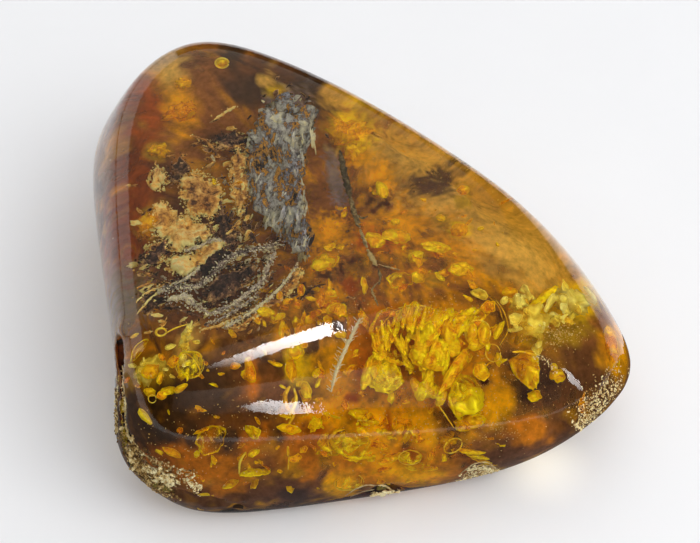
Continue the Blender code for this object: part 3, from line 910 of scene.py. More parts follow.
# first and last centre, count, half length, half width, first and last turn, depth
FANS = [
    ((411, 333), (436, 312), 8, 9, 2.6, 62, 38, 3.2),
    ((452, 318), (474, 313), 6, 9, 2.2, 50, 20, 3.0),
    ((376, 350), (404, 316), 12, 15, 2.4, 100, 55, 3.0), ((404, 316), (440, 322), 14, 13, 2.2, 75, 55, 2.6),
    ((418, 340), (430, 376), 9, 12, 3.0, 80, 70, 2.2), ((430, 340), (446, 362), 8, 11, 3.0, 60, 75, 2.0),
    ((448, 330), (478, 322), 9, 10, 2.4, 70, 40, 2.4), ((428, 380), (440, 398), 5, 8, 2.6, 70, 100, 1.8),
    ((396, 340), (412, 362), 7, 14, 2.8, 120, 80, 3.2),
    ((358, 412), (388, 436), 6, 11, 4.0, 5, -15, 4.5),
    ((472, 452), (492, 470), 5, 12, 3.0, -10, -30, 1.6),
]
FILMS = [
    (397, 336, 27, 23, 55, 4.2, 0.5, 0.1),
    (466, 398, 22, 18, 120, 2.2, 0.4, 0.1),
    (386, 374, 18, 16, 95, 2.6, 0.6, 0.2),
    (190, 364, 13, 12, 30, 2.2, 0.4, 0.0),
    (349, 483, 14, 12, 0, 2.0, 0.5, 0.0),
    (410, 457, 11, 8, 0, 2.6, 0.5, 0.0),
    (212, 440, 15, 11, 40, 4.0, 0.5, 0.2),
    (138, 350, 12, 5, 48, 2.2, 0.5, 0.2),
    (296, 352, 8, 7, 10, 3.0, 0.4, 0.0),
    (355, 445, 25, 16, 0, 3.6, 0.5, 0.0),
    (400, 280, 14, 9, 10, 4.0, 0.4, 0.0),
    (325, 262, 14, 9, 15, 3.4, 0.4, 0.0),
]
PETALS = [
    (254, 453, 6, 4, 30, 1.8, 0.7, 0.2), (254, 473, 16, 6, 17, 2.0, 0.5, -0.3),
    (231, 484, 10, 5, 50, 2.6, 0.5, 0.2), (235, 366, 5, 3, 10, 2.4, 0.5, 0.0),
    (250, 370, 12, 5, 95, 2.2, 0.6, 0.35), (289, 429, 11, 5, -10, 1.8, -0.7, 0.0),
    (290, 486, 12, 4, 90, 2.7, 0.5, 0.1), (291, 371, 11, 6, 80, 2.6, 0.6, 0.0),
    (171, 453, 10, 4, -15, 2.2, 0.5, 0.0), (202, 495, 8, 2.5, 5, 1.2, 0.5, 0.0),
    (144, 417, 9, 4, -50, 1.8, 0.5, 0.2), (173, 362, 6, 5, 60, 1.6, 0.8, 0.0),
    (181, 388, 7, 3, 25, 1.4, 0.8, 0.2), (168, 391, 8, 4, 10, 2.2, 0.6, 0.0),
    (390, 459, 13, 5, 35, 2.4, 0.6, 0.2), (350, 459, 8, 4, -20, 2.6, 0.6, 0.2),
    (326, 447, 7, 4, -30, 2.6, 0.5, 0.0), (450, 481, 10, 3, 95, 2.4, 0.5, 0.2),
    (430, 469, 8, 4, -10, 2.0, 0.6, 0.0), (528, 371, 23, 12, -72, 2.2, 0.5, 0.45),
    (557, 376, 8, 8, 0, 2.0, 0.9, 0.0), (554, 367, 4, 3.5, 0, 1.6, 0.9, 0.0),
    (510, 292, 8, 4.5, 8, 3.0, 0.9, 0.0), (543, 298, 20, 5, 38, 3.4, 0.6, 0.1),
    (612, 346, 18, 8, 105, 3.6, 0.5, -0.2), (324, 264, 12, 7, 15, 2.6, 0.7, 0.2),
    (459, 230, 9, 8, 30, 3.6, 0.9, 0.0), (416, 256, 8, 5, 10, 3.4, 0.8, 0.0),
    (436, 247, 15, 6, -8, 3.8, 0.5, 0.0), (461, 269, 13, 7, 8, 3.6, 0.6, 0.1),
    (444, 273, 7, 4, 20, 3.8, 0.6, 0.0), (395, 222, 5, 4, 0, 3.2, 0.9, 0.0),
    (375, 240, 11, 8, -30, 3.8, 0.5, 0.0), (397, 236, 14, 9, -10, 4.2, 0.5, 0.0),
    (418, 277, 8, 6, -20, 3.8, 0.5, 0.0), (222, 63, 6, 6, 0, 3.0, 0.9, 0.0),
    (463, 190, 6, 5, 0, 4.0, 0.7, 0.0), (441, 218, 5, 4, 0, 4.0, 0.7, 0.0),
    (382, 190, 6, 10, 10, 4.0, 0.6, 0.0), (266, 312, 9, 5, -15, 2.8, 0.6, 0.2),
    (282, 330, 10, 3, 80, 2.4, 0.6, 0.0), (150, 372, 10, 7, 20, 1.8, 0.8, 0.0),
    (160, 378, 6, 3, 70, 1.4, 0.8, 0.2), (147, 376, 5, 3, -20, 1.2, 0.8, 0.2),
    (306, 390, 9, 5, 100, 2.8, 0.6, 0.0), (294, 352, 7, 4, 0, 2.6, 0.6, 0.0),
]
# loose flakes: middle and spread (px), count, shortest and longest (px), nearest and farthest (mm)
SCATTERED = [
    (335, 390, 60, 60, 26, 3, 9, 2.0, 4.5), (375, 432, 90, 36, 34, 3, 11, 2.0, 5.0),
    (230, 460, 130, 50, 34, 2, 8, 1.2, 4.0), (420, 470, 110, 30, 22, 3, 9, 1.6, 4.0),
    (435, 345, 90, 70, 44, 3, 8, 2.2, 4.2), (325, 245, 44, 50, 16, 2, 6, 2.5, 5.0),
    (430, 250, 100, 50, 26, 2, 6, 2.5, 6.0), (170, 370, 60, 50, 18, 2, 6, 1.0, 3.0),
    (300, 320, 110, 50, 22, 2, 7, 2.0, 5.0), (290, 390, 40, 80, 16, 2, 6, 1.5, 4.0),
    (500, 400, 60, 60, 14, 3, 8, 3.0, 6.0), (240, 200, 60, 60, 14, 2, 5, 3.0, 5.0),
    (326, 306, 36, 22, 18, 3, 10, 2.4, 4.0), (274, 314, 24, 16, 10, 2, 8, 2.6, 4.0),
]
# centre x and y, radii (px), turn, depth
CLOUD_BLOBS = [
    (413, 425, 20, 16, 20, 5.0), (398, 416, 12, 10, 0, 4.6), (372, 430, 17, 11, -10, 5.2),
    (366, 412, 16, 10, 10, 5.4), (322, 408, 20, 9, 20, 5.6), (330, 392, 12, 9, 30, 5.6),
    (311, 424, 14, 8, -20, 5.2), (499, 407, 12, 15, 0, 6.0), (523, 429, 7, 6, 0, 5.0),
    (497, 452, 8, 7, 0, 3.6), (447, 441, 8, 6, 30, 2.6), (458, 452, 9, 5, 20, 2.4),
    (400, 475, 28, 14, -8, 4.4), (386, 484, 18, 9, 10, 4.0), (305, 475, 6, 9, 0, 3.4),
    (348, 135, 18, 16, -20, 5.0), (355, 154, 11, 11, 0, 5.0), (181, 112, 15, 11, 10, 4.5),
    (159, 150, 9, 8, 0, 4.0), (159, 178, 7, 6, 0, 2.4), (148, 226, 9, 13, 0, 3.0),
    (183, 84, 7, 6, 0, 4.0),
]
PALE_BLOBS = [
    (530, 322, 15, 18, 80, 2.4), (518, 303, 7, 6, 30, 1.8), (571, 301, 17, 13, -10, 2.6),
    (552, 319, 8, 5, -5, 2.0), (150, 370, 12, 9, 20, 2.6), (186, 336, 4, 13, -15, 2.2),
]
PALE_SCATTERED = [
    (530, 322, 18, 26, 12, 5, 11, 2.0, 3.2), (518, 303, 12, 8, 5, 3, 6, 2.0, 2.6),
    (571, 301, 28, 18, 14, 5, 11, 2.2, 3.6), (552, 319, 14, 8, 5, 3, 6, 2.0, 2.8),
    (150, 370, 26, 16, 18, 2, 7, 1.6, 3.0), (186, 340, 8, 24, 12, 2, 6, 1.6, 2.6),
    (545, 300, 34, 10, 8, 3, 9, 3.4, 4.6),
]


def strewn(shape, sight, rows, rng, torn=(0.2, 0.6)):
    """Loose torn flakes at random places round each row's middle."""
    for x, y, wide, high, count, small, large, near, far in rows:
        for index in range(count):
            px, py = rng.gauss(x, wide / 2), rng.gauss(y, high / 2)
            length = rng.uniform(small, large)
            frame = leaned(SPANGLED, rng.uniform(-40, 40), rng.uniform(-40, 40))
            frame = turned(frame, rng.uniform(0, 180))
            petal(shape, sight.behind(px, py, rng.uniform(near, far)), frame, length,
                  length * rng.uniform(0.3, 0.8), rng.uniform(-0.5, 0.7), rng.uniform(-0.2, 0.4),
                  seed=px * 0.37 + index, shade=rng.uniform(0.0, 0.9), torn=rng.uniform(*torn))


def petal_rows(shape, sight, rows, rng, ripples, shades, nearer=1.0):
    """A petal for each row, each leaned a little at random."""
    for index, (x, y, length, width, turn, depth, cup, taper) in enumerate(rows):
        frame = turned(leaned(SPANGLED, rng.uniform(-20, 20), rng.uniform(-20, 20)), turn)
        petal(shape, sight.behind(x, y, depth * nearer), frame, length, width, cup, taper,
              ripples=ripples, seed=index * 1.37, shade=rng.uniform(*shades))


def fans(shape, sight, rng):
    """Rows of long petals, overlapping like a fan's."""
    for first, last, count, length, width, turn_a, turn_b, depth in FANS:
        for index in range(count):
            share = index / (count - 1)
            x, y = between(first, last, share)
            frame = turned(leaned(SPANGLED, rng.uniform(-15, 15), rng.uniform(-20, 30)),
                           turn_a + (turn_b - turn_a) * share + rng.uniform(-6, 6))
            petal(shape, sight.behind(x, y, depth + rng.uniform(-0.3, 0.3)), frame,
                  length * rng.uniform(0.8, 1.15), width, 0.7, 0.2, seed=index + x,
                  shade=rng.uniform(0.3, 1.0))


def add_scales(sight):
    rng = random.Random(11)
    scales, flakes, films = Shape(), Shape(), Shape()
    petal_rows(scales, sight, CLUSTER_PETALS, rng, 1.5, (0.4, 1.0), 0.7)
    petal_rows(scales, sight, PETALS, rng, 1.0, (0.2, 1.0))
    fans(scales, sight, rng)
    strewn(flakes, sight, SCATTERED, rng)
    gold = scale_material("gold_scale")
    add_piece("gold_scales", scales, gold, "gold_scale", "gold_cluster")
    add_piece("gold_flakes", flakes, gold, "gold_scale")
    petal_rows(films, sight, FILMS, rng, 0.6, (0.4, 1.0))
    add_piece("gold_films", films, scale_material("gold_film"), "gold_scale")


def add_clouds(sight):
    gold, pale = Shape(), Shape()
    for rows, shape in ((CLOUD_BLOBS, gold), (PALE_BLOBS, pale)):
        for index, (x, y, wide, high, turn, depth) in enumerate(rows):
            radii = (wide, high, min(wide, high) * 0.6)
            blob(shape, sight.behind(x, y, depth + 0.8), turned(FACING, turn), radii, 0.8, 2.6,
                 index * 2.3, (index * 0.37) % 1.0)
    strewn(pale, sight, PALE_SCATTERED, random.Random(31), (0.1, 0.25))
    add_piece("gold_lumps", gold, scale_material("gold_lump"), "gold_scale")
    add_piece("pale_lumps", pale, scale_material("pale_lump"), "gold_scale", "pale_cluster")


# ---- cloudy matter ---------------------------------------------------------------------------
VEIL_FOOT = 0.5 * MM                                           # least height over the floor
VEIL_DEPTHS, VEIL_RELIEF = (1.6 * MM, 5.2 * MM), 1.1 * MM     # depths low on the sides and elsewhere
VEIL_TILTS = (-16.0, 4.0)                                      # between which the depth grows
VEIL_BACK_TILT = 18.0                                          # how much higher it does so at the back
VEIL_WAVES, VEIL_BLOTCHES, VEIL_TATTERS = 4.0, 9.0, 26.0       # noise scales
VEIL_COVER, BLOTCH_COVER = 0.25, 0.45                          # cover of the ground between patches
PATCH_EDGE, PATCH_TATTER = 1.45, 0.7                           # a patch fades out there, raggedly
YELLOW, GOLD, ORANGE = (1.0, 0.78, 0.0), (1.0, 0.54, 0.0), (0.70, 0.26, 0.02)
TAN, BROWN, DARK = (0.80, 0.56, 0.36), (0.30, 0.13, 0.09), (0.075, 0.04, 0.05)
UMBER = (0.15, 0.065, 0.055)
GREY, OLIVE, RED = (0.30, 0.27, 1.0), (0.50, 0.36, 0.05), (0.40, 0.10, 0.01)
# centre x and y, half length and half width (px), turn (degrees), colour, cover
VEILS = [
    (250, 85, 90, 40, -15, BROWN, 0.8), (310, 88, 60, 26, -25, DARK, 0.7),
    (330, 150, 30, 24, 0, BROWN, 0.6), (450, 170, 90, 45, -40, TAN, 0.6), (520, 240, 70, 35, -45, TAN, 0.6),
    (330, 210, 30, 45, 10, BROWN, 0.6), (410, 290, 70, 20, 0, BROWN, 0.45),
    (200, 260, 70, 90, 0, BROWN, 0.6), (260, 380, 80, 26, -5, DARK, 0.6),
    (590, 345, 36, 26, 0, BROWN, 0.55), (545, 392, 45, 30, 0, DARK, 0.35),
    (520, 438, 50, 24, 10, BROWN, 0.5), (215, 430, 85, 50, 0, UMBER, 0.85),
    (250, 495, 110, 16, 2, UMBER, 0.9), (190, 396, 60, 20, 5, DARK, 0.9),
    (170, 440, 40, 18, -10, DARK, 0.75), (520, 448, 70, 16, 22, UMBER, 0.8),
    (400, 472, 70, 22, -8, ORANGE, 0.8), (150, 160, 24, 50, 10, UMBER, 0.7),
    (200, 130, 50, 30, 0, BROWN, 0.6), (118, 300, 10, 34, 0, GREY, 0.8),
    (240, 446, 24, 16, 20, ORANGE, 0.7), (200, 460, 36, 12, -10, ORANGE, 0.6),
    (300, 440, 26, 20, 0, ORANGE, 0.7), (270, 70, 40, 14, -14, UMBER, 0.85),
    (590, 372, 30, 30, 30, UMBER, 0.6), (275, 386, 34, 14, 0, BROWN, 0.8), (168, 66, 16, 22, 20, TAN, 0.6),
    (140, 200, 14, 70, 5, RED, 0.5), (150, 110, 14, 40, 10, RED, 0.5), (250, 91, 36, 18, 0, DARK, 0.8),
    (315, 86, 34, 14, -25, DARK, 0.9), (224, 140, 26, 8, 0, DARK, 0.95), (265, 80, 7, 6, 0, TAN, 0.7),
    (276, 91, 9, 5, 0, YELLOW, 0.5), (235, 47, 14, 6, -20, DARK, 0.8), (345, 95, 20, 8, -25, TAN, 0.6),
    (287, 122, 22, 28, 0, GREY, 0.8), (430, 186, 26, 12, -5, DARK, 0.35), (349, 287, 9, 9, 0, RED, 0.7),
    (301, 289, 14, 6, 0, DARK, 0.6), (336, 180, 8, 34, 12, GREY, 0.7), (181, 112, 15, 24, 10, GOLD, 1.0),
    (183, 84, 8, 7, 0, GOLD, 0.6), (159, 151, 11, 9, 0, OLIVE, 0.7), (150, 222, 9, 18, 0, OLIVE, 0.8),
    (350, 132, 21, 19, -20, YELLOW, 1.0), (358, 157, 13, 10, 0, GOLD, 0.9),
    (383, 176, 10, 18, 10, GOLD, 0.6), (327, 232, 22, 18, 10, GOLD, 0.95), (322, 262, 14, 8, 10, GOLD, 1.0),
    (403, 228, 22, 12, 0, GOLD, 0.8), (458, 229, 10, 8, 0, YELLOW, 1.0), (438, 247, 24, 9, -8, GOLD, 0.9),
    (415, 256, 10, 5, 0, YELLOW, 0.9), (374, 241, 18, 12, -20, ORANGE, 0.8),
    (462, 270, 14, 9, 8, GOLD, 0.9), (419, 276, 12, 7, 0, GOLD, 0.6), (433, 281, 9, 7, 0, OLIVE, 0.6),
    (443, 220, 7, 6, 0, OLIVE, 0.7), (463, 193, 9, 8, 0, OLIVE, 0.6), (331, 299, 14, 13, 20, GOLD, 0.9),
    (395, 289, 12, 8, 0, GOLD, 0.5), (265, 311, 14, 8, 10, GOLD, 0.8), (278, 325, 5, 14, 0, GOLD, 0.6),
    (238, 195, 18, 26, 0, GOLD, 0.7), (293, 354, 9, 7, 0, YELLOW, 0.8), (300, 372, 13, 13, 0, YELLOW, 0.7),
    (336, 382, 18, 30, 10, GOLD, 1.0), (360, 358, 10, 30, 5, ORANGE, 0.8), (331, 416, 30, 14, 0, GOLD, 0.9),
    (374, 420, 26, 16, 0, GOLD, 0.9), (367, 443, 26, 14, 0, GOLD, 0.8), (406, 416, 17, 22, 0, GOLD, 1.0),
    (318, 428, 10, 5, 0, RED, 0.8), (388, 422, 4, 13, 0, RED, 0.7), (352, 398, 6, 6, 0, RED, 0.7),
    (430, 352, 50, 44, 20, GOLD, 0.8), (388, 345, 26, 30, 30, ORANGE, 0.8),
    (499, 403, 15, 21, 0, GOLD, 0.9), (526, 430, 22, 12, 0, ORANGE, 0.7),
    (530, 324, 15, 19, 0, YELLOW, 0.8), (573, 304, 22, 15, 0, YELLOW, 0.7),
    (557, 335, 26, 9, 0, OLIVE, 0.7), (613, 347, 9, 19, 5, GOLD, 0.8), (210, 443, 20, 10, 50, ORANGE, 0.8),
    (211, 472, 28, 12, 0, ORANGE, 0.7), (229, 486, 17, 8, 20, ORANGE, 0.8),
    (180, 453, 17, 4, -20, ORANGE, 0.9), (148, 373, 15, 9, 20, OLIVE, 0.8),
    (189, 338, 8, 15, -30, TAN, 0.7), (252, 375, 5, 18, 5, ORANGE, 0.8), (230, 439, 13, 14, 0, DARK, 0.7),
    (279, 436, 8, 12, 0, DARK, 0.8), (296, 494, 16, 8, 0, DARK, 0.7), (341, 486, 14, 12, 0, GOLD, 0.7),
    (308, 460, 10, 18, 10, ORANGE, 0.7), (405, 470, 34, 16, -10, GOLD, 0.9), (410, 457, 12, 8, 0, RED, 0.8),
]


def veil_places(directions):
    """A wavy skin round the heart of the stone."""
    tilt = azimuth_and_tilt(directions)[1]
    tilt = tilt - VEIL_BACK_TILT * np.clip(2.0 * directions[:, 1] - 0.4, 0.0, 1.0)
    deeper = np.clip((tilt - VEIL_TILTS[0]) / (VEIL_TILTS[1] - VEIL_TILTS[0]), 0.0, 1.0)
    inset = VEIL_DEPTHS[0] + (VEIL_DEPTHS[1] - VEIL_DEPTHS[0]) * deeper
    inset += VEIL_RELIEF * lumps_at(directions, VEIL_WAVES)
    places = stone_points(directions, relief=False, inset=inset)
    places[:, 2] = np.maximum(places[:, 2], VEIL_FOOT)
    return places


def veil_paint(sight, directions, places, tree):
    """Each vertex's colour and cover: blotches, and soft patches where the photo shows them."""
    blotches, tatters = lumps_at(directions, VEIL_BLOTCHES), lumps_at(directions, VEIL_TATTERS)
    paint = np.array(BROWN) + (np.array(GOLD) - np.array(BROWN)) * np.clip(0.4 + blotches, 0.0, 1.0)[:, None]
    cover = VEIL_COVER + BLOTCH_COVER * blotches
    for x, y, length, width, turn, colour, opacity in VEILS:
        start, ray = sight.inward(x, y)
        centre = tree.ray_cast(start, ray)[0] or start + ray * VEIL_DEPTHS[0]
        across, up, out = turned(FACING, turn)
        offset = (places - np.array(centre)) / PIXEL
        distance = np.hypot(offset @ np.array(across) / length, offset @ np.array(up) / width)
        near_side = np.abs(offset @ np.array(out)) < 2.0 * max(length, width) + 40.0
        weight = np.clip(PATCH_EDGE - distance + PATCH_TATTER * tatters, 0.0, 1.0) * near_side
        weight = weight * weight * (3.0 - 2.0 * weight)
        paint += (np.array(colour) - paint) * weight[:, None]
        cover += (opacity - cover) * weight
    return paint, cover


def add_veils(sight):
    bm, directions = sphere()
    places = veil_places(directions)
    tree = BVHTree.FromPolygons([tuple(place) for place in places],
                                [[vert.index for vert in face.verts] for face in bm.faces])
    paint, cover = veil_paint(sight, directions, places, tree)
    for vert, place in zip(bm.verts, places):
        vert.co = place
    mesh = bpy.data.meshes.new("cloudy_veils")
    bm.to_mesh(mesh)
    colours = np.hstack([paint, np.ones((len(paint), 1))])
    mesh.attributes.new("paint", "FLOAT_COLOR", "POINT").data.foreach_set("color", colours.ravel())
    mesh.attributes.new("cover", "FLOAT", "POINT").data.foreach_set("value", cover)
    add_piece("cloudy_veils", mesh, veil_material(), "amber")


# ---- plant remains -------------------------------------------------------------------------
BED_DEPTH = 3.2                # mm below the top facet
# outlines (px)
TAN_FLAKES = [
    [(180, 186), (190, 173), (204, 176), (218, 186), (221, 200), (214, 217), (203, 214), (193, 216),
     (184, 204)],
    [(154, 207), (166, 204), (176, 221), (190, 219), (205, 232), (196, 240), (184, 250), (172, 250),
     (166, 236), (156, 233)],
    [(168, 260), (180, 258), (196, 251), (208, 246), (221, 242), (224, 248), (206, 262), (190, 273),
     (176, 274)],
    [(150, 246), (160, 242), (164, 250), (160, 262), (150, 262)],
    [(234, 160), (240, 150), (246, 162), (247, 184), (245, 204), (238, 214), (233, 196), (231, 176)],
    [(152, 172), (160, 169), (166, 177), (162, 187), (153, 188)],
    [(226, 326), (242, 314), (262, 303), (282, 285), (296, 270), (300, 276), (286, 295), (264, 311),
     (240, 325)],
    [(176, 226), (186, 214), (196, 220), (204, 230), (212, 232), (206, 242), (190, 236)],
]
DARK_STRIPS = [
    [(188, 285), (196, 270), (210, 257), (226, 245), (232, 252), (222, 268), (206, 281)],
    [(202, 291), (220, 276), (238, 268), (254, 263), (257, 272), (244, 287), (226, 300), (210, 305)],
    [(140, 262), (152, 250), (166, 243), (168, 252), (156, 264), (146, 268)],
    [(214, 137), (230, 133), (243, 138), (238, 146), (220, 146)],
    [(142, 300), (154, 292), (166, 296), (160, 306), (146, 312)],
    # The next outline fills a dark hollow among the flakes with a dark slab: painted shade, not bark.
    [(217, 216), (225, 213), (233, 226), (237, 242), (228, 248), (219, 236)],
    [(172, 164), (182, 158), (188, 168), (180, 182), (172, 178)],
]
# points (px), half width (px)
GRIT_LINES = [
    ([(160, 291), (178, 287), (196, 287), (211, 275), (224, 262), (240, 253), (262, 248), (280, 243)], 2.2),
    ([(196, 306), (212, 313), (230, 306), (248, 293), (262, 281), (269, 264), (275, 250)], 2.0),
    ([(168, 300), (184, 297), (196, 306)], 3.0),
    ([(224, 327), (242, 318), (262, 304), (280, 288), (297, 266)], 1.4),
    ([(206, 324), (222, 318), (240, 307), (256, 296)], 1.2),
    ([(186, 250), (198, 247), (212, 240), (222, 241)], 1.4),
    ([(176, 284), (190, 276), (200, 266)], 1.2),
]
DARK_LINES = [
    ([(150, 262), (162, 252), (168, 246)], 2.5), ([(160, 284), (178, 283), (190, 286)], 2.0),
    ([(165, 300), (172, 306), (186, 312), (200, 316)], 1.6), ([(250, 300), (262, 288), (272, 270)], 1.4),
    ([(268, 300), (280, 292), (294, 276)], 1.3), ([(219, 196), (222, 212), (226, 228), (236, 240)], 1.8),
    ([(208, 222), (216, 236), (228, 246)], 1.6), ([(140, 296), (150, 292), (164, 290)], 1.2),
    ([(262, 262), (268, 275), (262, 284)], 1.5), ([(214, 150), (226, 146), (244, 150)], 2.2),
    ([(300, 300), (312, 288), (326, 284)], 1.0), ([(244, 226), (252, 236), (258, 244)], 1.6),
]
TAN_LINES = [
    ([(137, 270), (150, 275), (165, 281), (178, 284)], 1.6),
    ([(136, 288), (150, 284), (164, 286)], 1.4),
    ([(136, 302), (148, 292), (164, 286)], 1.3),
    ([(137, 314), (150, 299), (163, 289)], 1.2),
    ([(232, 330), (252, 318), (272, 300), (290, 280)], 1.5),
    ([(200, 330), (220, 325), (240, 315)], 1.5),
    ([(240, 165), (243, 190), (238, 216)], 1.6), ([(226, 150), (236, 146), (246, 150)], 1.4),
    ([(222, 238), (232, 230), (240, 222)], 1.5), ([(214, 120), (226, 112), (236, 106)], 1.8),
    ([(190, 135), (204, 140), (214, 150), (220, 158)], 1.6),
]
# middle and spread (px), turn (degrees), count, shortest and longest (px), middle shade
TAN_LITTER = [
    (200, 192, 40, 40, 20, 30, 2, 6, 0.5), (178, 226, 46, 38, 0, 30, 2, 6, 0.5),
    (198, 258, 50, 26, 25, 24, 2, 6, 0.5), (156, 252, 20, 24, 40, 16, 2, 6, 0.5),
    (240, 190, 18, 60, 85, 26, 2, 8, 0.35), (238, 232, 30, 26, 60, 20, 2, 6, 0.4),
    (150, 290, 20, 30, 15, 16, 2, 8, 0.5), (220, 318, 60, 14, 20, 20, 2, 7, 0.4),
    (262, 296, 40, 40, 45, 24, 1, 4, 0.3), (228, 150, 50, 20, 10, 26, 2, 6, 0.4),
    (158, 176, 14, 18, 80, 10, 2, 6, 0.5),
]
DARK_LITTER = [
    (210, 262, 60, 40, 30, 30, 2, 7, 0.3), (230, 284, 70, 36, 25, 30, 2, 7, 0.25),
    (150, 284, 24, 44, 15, 20, 2, 7, 0.3), (230, 226, 40, 40, 60, 30, 2, 6, 0.35),
    (228, 144, 50, 18, 5, 24, 2, 7, 0.3), (200, 208, 50, 50, 30, 24, 2, 6, 0.4),
    (260, 290, 60, 40, 40, 30, 1, 4, 0.3), (300, 292, 50, 14, 20, 20, 1, 5, 0.2),
    (284, 116, 40, 40, 80, 20, 2, 6, 0.3),
]
GREY_LITTER = [
    (240, 262, 60, 14, 22, 30, 1, 4, 0.6), (256, 276, 24, 36, 60, 30, 1, 4, 0.6),
    (210, 302, 44, 14, -10, 30, 1, 4, 0.6), (172, 288, 20, 14, 0, 20, 1, 4, 0.6),
    (262, 250, 26, 14, 30, 20, 1, 4, 0.6), (236, 196, 24, 70, 85, 30, 1, 5, 0.5),
]
LITTER_LIFTS, LITTER_CLEARANCE = (-0.8, 0.3), 1.6 * MM      # over the bed (mm), and from the stone's skin
GRAIN_LIFTS = (-0.2, 0.7)                                   # over the bed (mm)


def bed_slabs(shape, sight, outlines, shades, lift, half_thickness, height, tear, seed=0.0):
    """Torn slabs, `lift` mm above the middle of the bed."""
    depth = BED_DEPTH - lift
    for index, (outline, shade) in enumerate(zip(outlines, shades)):
        start = seed + index * 5.1

        def relief(x, y):
            wave = noise.noise(Vector((x * 0.45, y * 0.45, start)))
            return height * (wave + 0.5 * noise.noise(Vector((x * 1.6, y * 1.6, start))))

        places = [sight.on_bed(x, y, depth) for x, y in outline]
        if sum(a.x * b.y - b.x * a.y for a, b in zip(places, places[1:] + places[:1])) < 0:
            places.reverse()
        slab(shape, places, depth, half_thickness, relief, tear, start, shade)


def bed_lines(shape, sight, lines, rough, lift=0.5, seed=0.0):
    """Rough tapering ridges or twigs along lines in the bed."""
    for index, (line, width) in enumerate(lines):
        places = [sight.in_bed(x, y, BED_DEPTH - lift) for x, y in line]
        tube(shape, smooth_path(places, 14), tapering(width), sides=10, rough=rough, flat=0.6,
             seed=seed + index * 3.3, shade=(index * 0.31) % 1.0)


def spots_along(line, width, per_pixel, spread, rng):
    """Random pixels round a line; the count and the spread grow with its half width."""
    path = smooth_path([Vector(point) for point in line], 8)
    length = sum((b - a).length for a, b in zip(path, path[1:]))
    for _ in range(int(length * per_pixel * width)):
        yield path[rng.randrange(len(path))] + Vector((rng.gauss(0, 1), rng.gauss(0, 1))) * width * spread


def bed_grains(shape, sight, lines, rng, per_pixel, sizes, spread, shades, lifts=GRAIN_LIFTS):
    """Grit strewn along lines in the bed."""
    for line, width in lines:
        for x, y in spots_along(line, width, per_pixel, spread, rng):
            place = sight.in_bed(x, y, BED_DEPTH - rng.uniform(*lifts))
            grain(shape, place, rng.uniform(*sizes), rng, clamped(rng.gauss(*shades)))


def outlined(outlines, width):
    """Closed outlines as lines with a half width."""
    return [(outline + outline[:1], width) for outline in outlines]


def litter(shape, sight, rows, rng):
    """Torn, crumpled bits of matter in the bed, lying mostly along each row's turn."""
    for x, y, wide, high, turn, count, small, large, shade in rows:
        for index in range(count):
            px, py = rng.gauss(x, wide / 2.4), rng.gauss(y, high / 2.4)
            place = sight.in_bed(px, py, BED_DEPTH - rng.uniform(*LITTER_LIFTS))
            frame = leaned(FACING, rng.uniform(-35, 35), rng.uniform(-35, 35))
            frame = turned(frame, turn + rng.gauss(0, 22))
            length = rng.uniform(small, large)
            if not sight.holds(place, length * PIXEL + LITTER_CLEARANCE):
                continue
            petal(shape, place, frame, length,
                  length * rng.uniform(0.2, 0.6), rng.uniform(-0.6, 0.6), rng.uniform(-0.3, 0.3),
                  seed=px * 0.71 + index, shade=clamped(rng.gauss(shade, 0.3)), torn=rng.uniform(0.5, 1.1))


def add_tan_bark(sight, rng):
    tan = Shape()
    bed_slabs(tan, sight, TAN_FLAKES, (0.15, 0.4, 0.55, 0.15, 0.2, 0.5, 0.0, 0.3), 0.4, 0.4, 1.2, 0.9)
    litter(tan, sight, TAN_LITTER, rng)
    bed_lines(tan, sight, TAN_LINES, 0.9, seed=7.0)
    bed_grains(tan, sight, TAN_LINES, rng, 0.35, (0.4, 1.1), 1.2, (0.5, 0.3))
    bed_grains(tan, sight, outlined(TAN_FLAKES, 2.0), rng, 1.0, (0.4, 1.2), 1.0, (0.8, 0.2))
    add_piece("tan_bark_flakes", tan, matter_material("tan_bark"), "tan_bark", "bark_flake")


def add_dark_bark(sight, rng):
    dark = Shape()
    bed_slabs(dark, sight, DARK_STRIPS, (0.1, 0.2, 0.3, 0.35, 0.2, 0.15, 0.4), 0.2, 0.5, 0.9, 0.7, 30.0)
    bed_lines(dark, sight, DARK_LINES, 1.2, lift=0.3, seed=60.0)
    litter(dark, sight, DARK_LITTER, rng)
    bed_grains(dark, sight, DARK_LINES, rng, 0.5, (0.4, 1.3), 1.4, (0.3, 0.25))
    bed_grains(dark, sight, outlined(DARK_STRIPS, 2.5), rng, 0.35, (0.4, 1.3), 1.0, (0.3, 0.3))
    add_piece("dark_bark_and_hollow_shade", dark, matter_material("dark_bark"), "dark_bark", "bark_strip")


def add_grit(sight, rng):
    grit = Shape()
    bed_lines(grit, sight, GRIT_LINES, 1.4, lift=1.0, seed=50.0)
    litter(grit, sight, GREY_LITTER, rng)
    bed_grains(grit, sight, GRIT_LINES, rng, 2.0, (0.4, 1.3), 1.0, (0.65, 0.3), (0.4, 1.3))
    add_piece("grit_edges", grit, matter_material("grit"), "grey_wood")


def add_bark(sight):
    rng = random.Random(17)
    add_tan_bark(sight, rng)
    add_dark_bark(sight, rng)
    add_grit(sight, rng)


SPLINTER_FIBRES, SPLINTER_SHREDS = 24, 150
TORN_END = 0.25              # share of the splinter's length over which its shreds lie every way
# points along each side (px), from the torn end to the tip
SPLINTER_LEFT = [(266, 100), (252, 130), (247, 160), (250, 190), (262, 222), (290, 246), (309, 257)]
SPLINTER_RIGHT = [(312, 98), (313, 125), (306, 150), (303, 180), (303, 210), (307, 235), (309, 257)]
SPLINTER_HEAD = [(284, 108, 12, 14), (292, 126, 14, 14), (276, 124, 9, 12)]   # centre, half sizes (px)


def along(line, share):
    """The point at a share of a line's points."""
    spot = clamped(share) * (len(line) - 1)
    index = min(int(spot), len(line) - 2)
    return between(line[index], line[index + 1], spot - index)


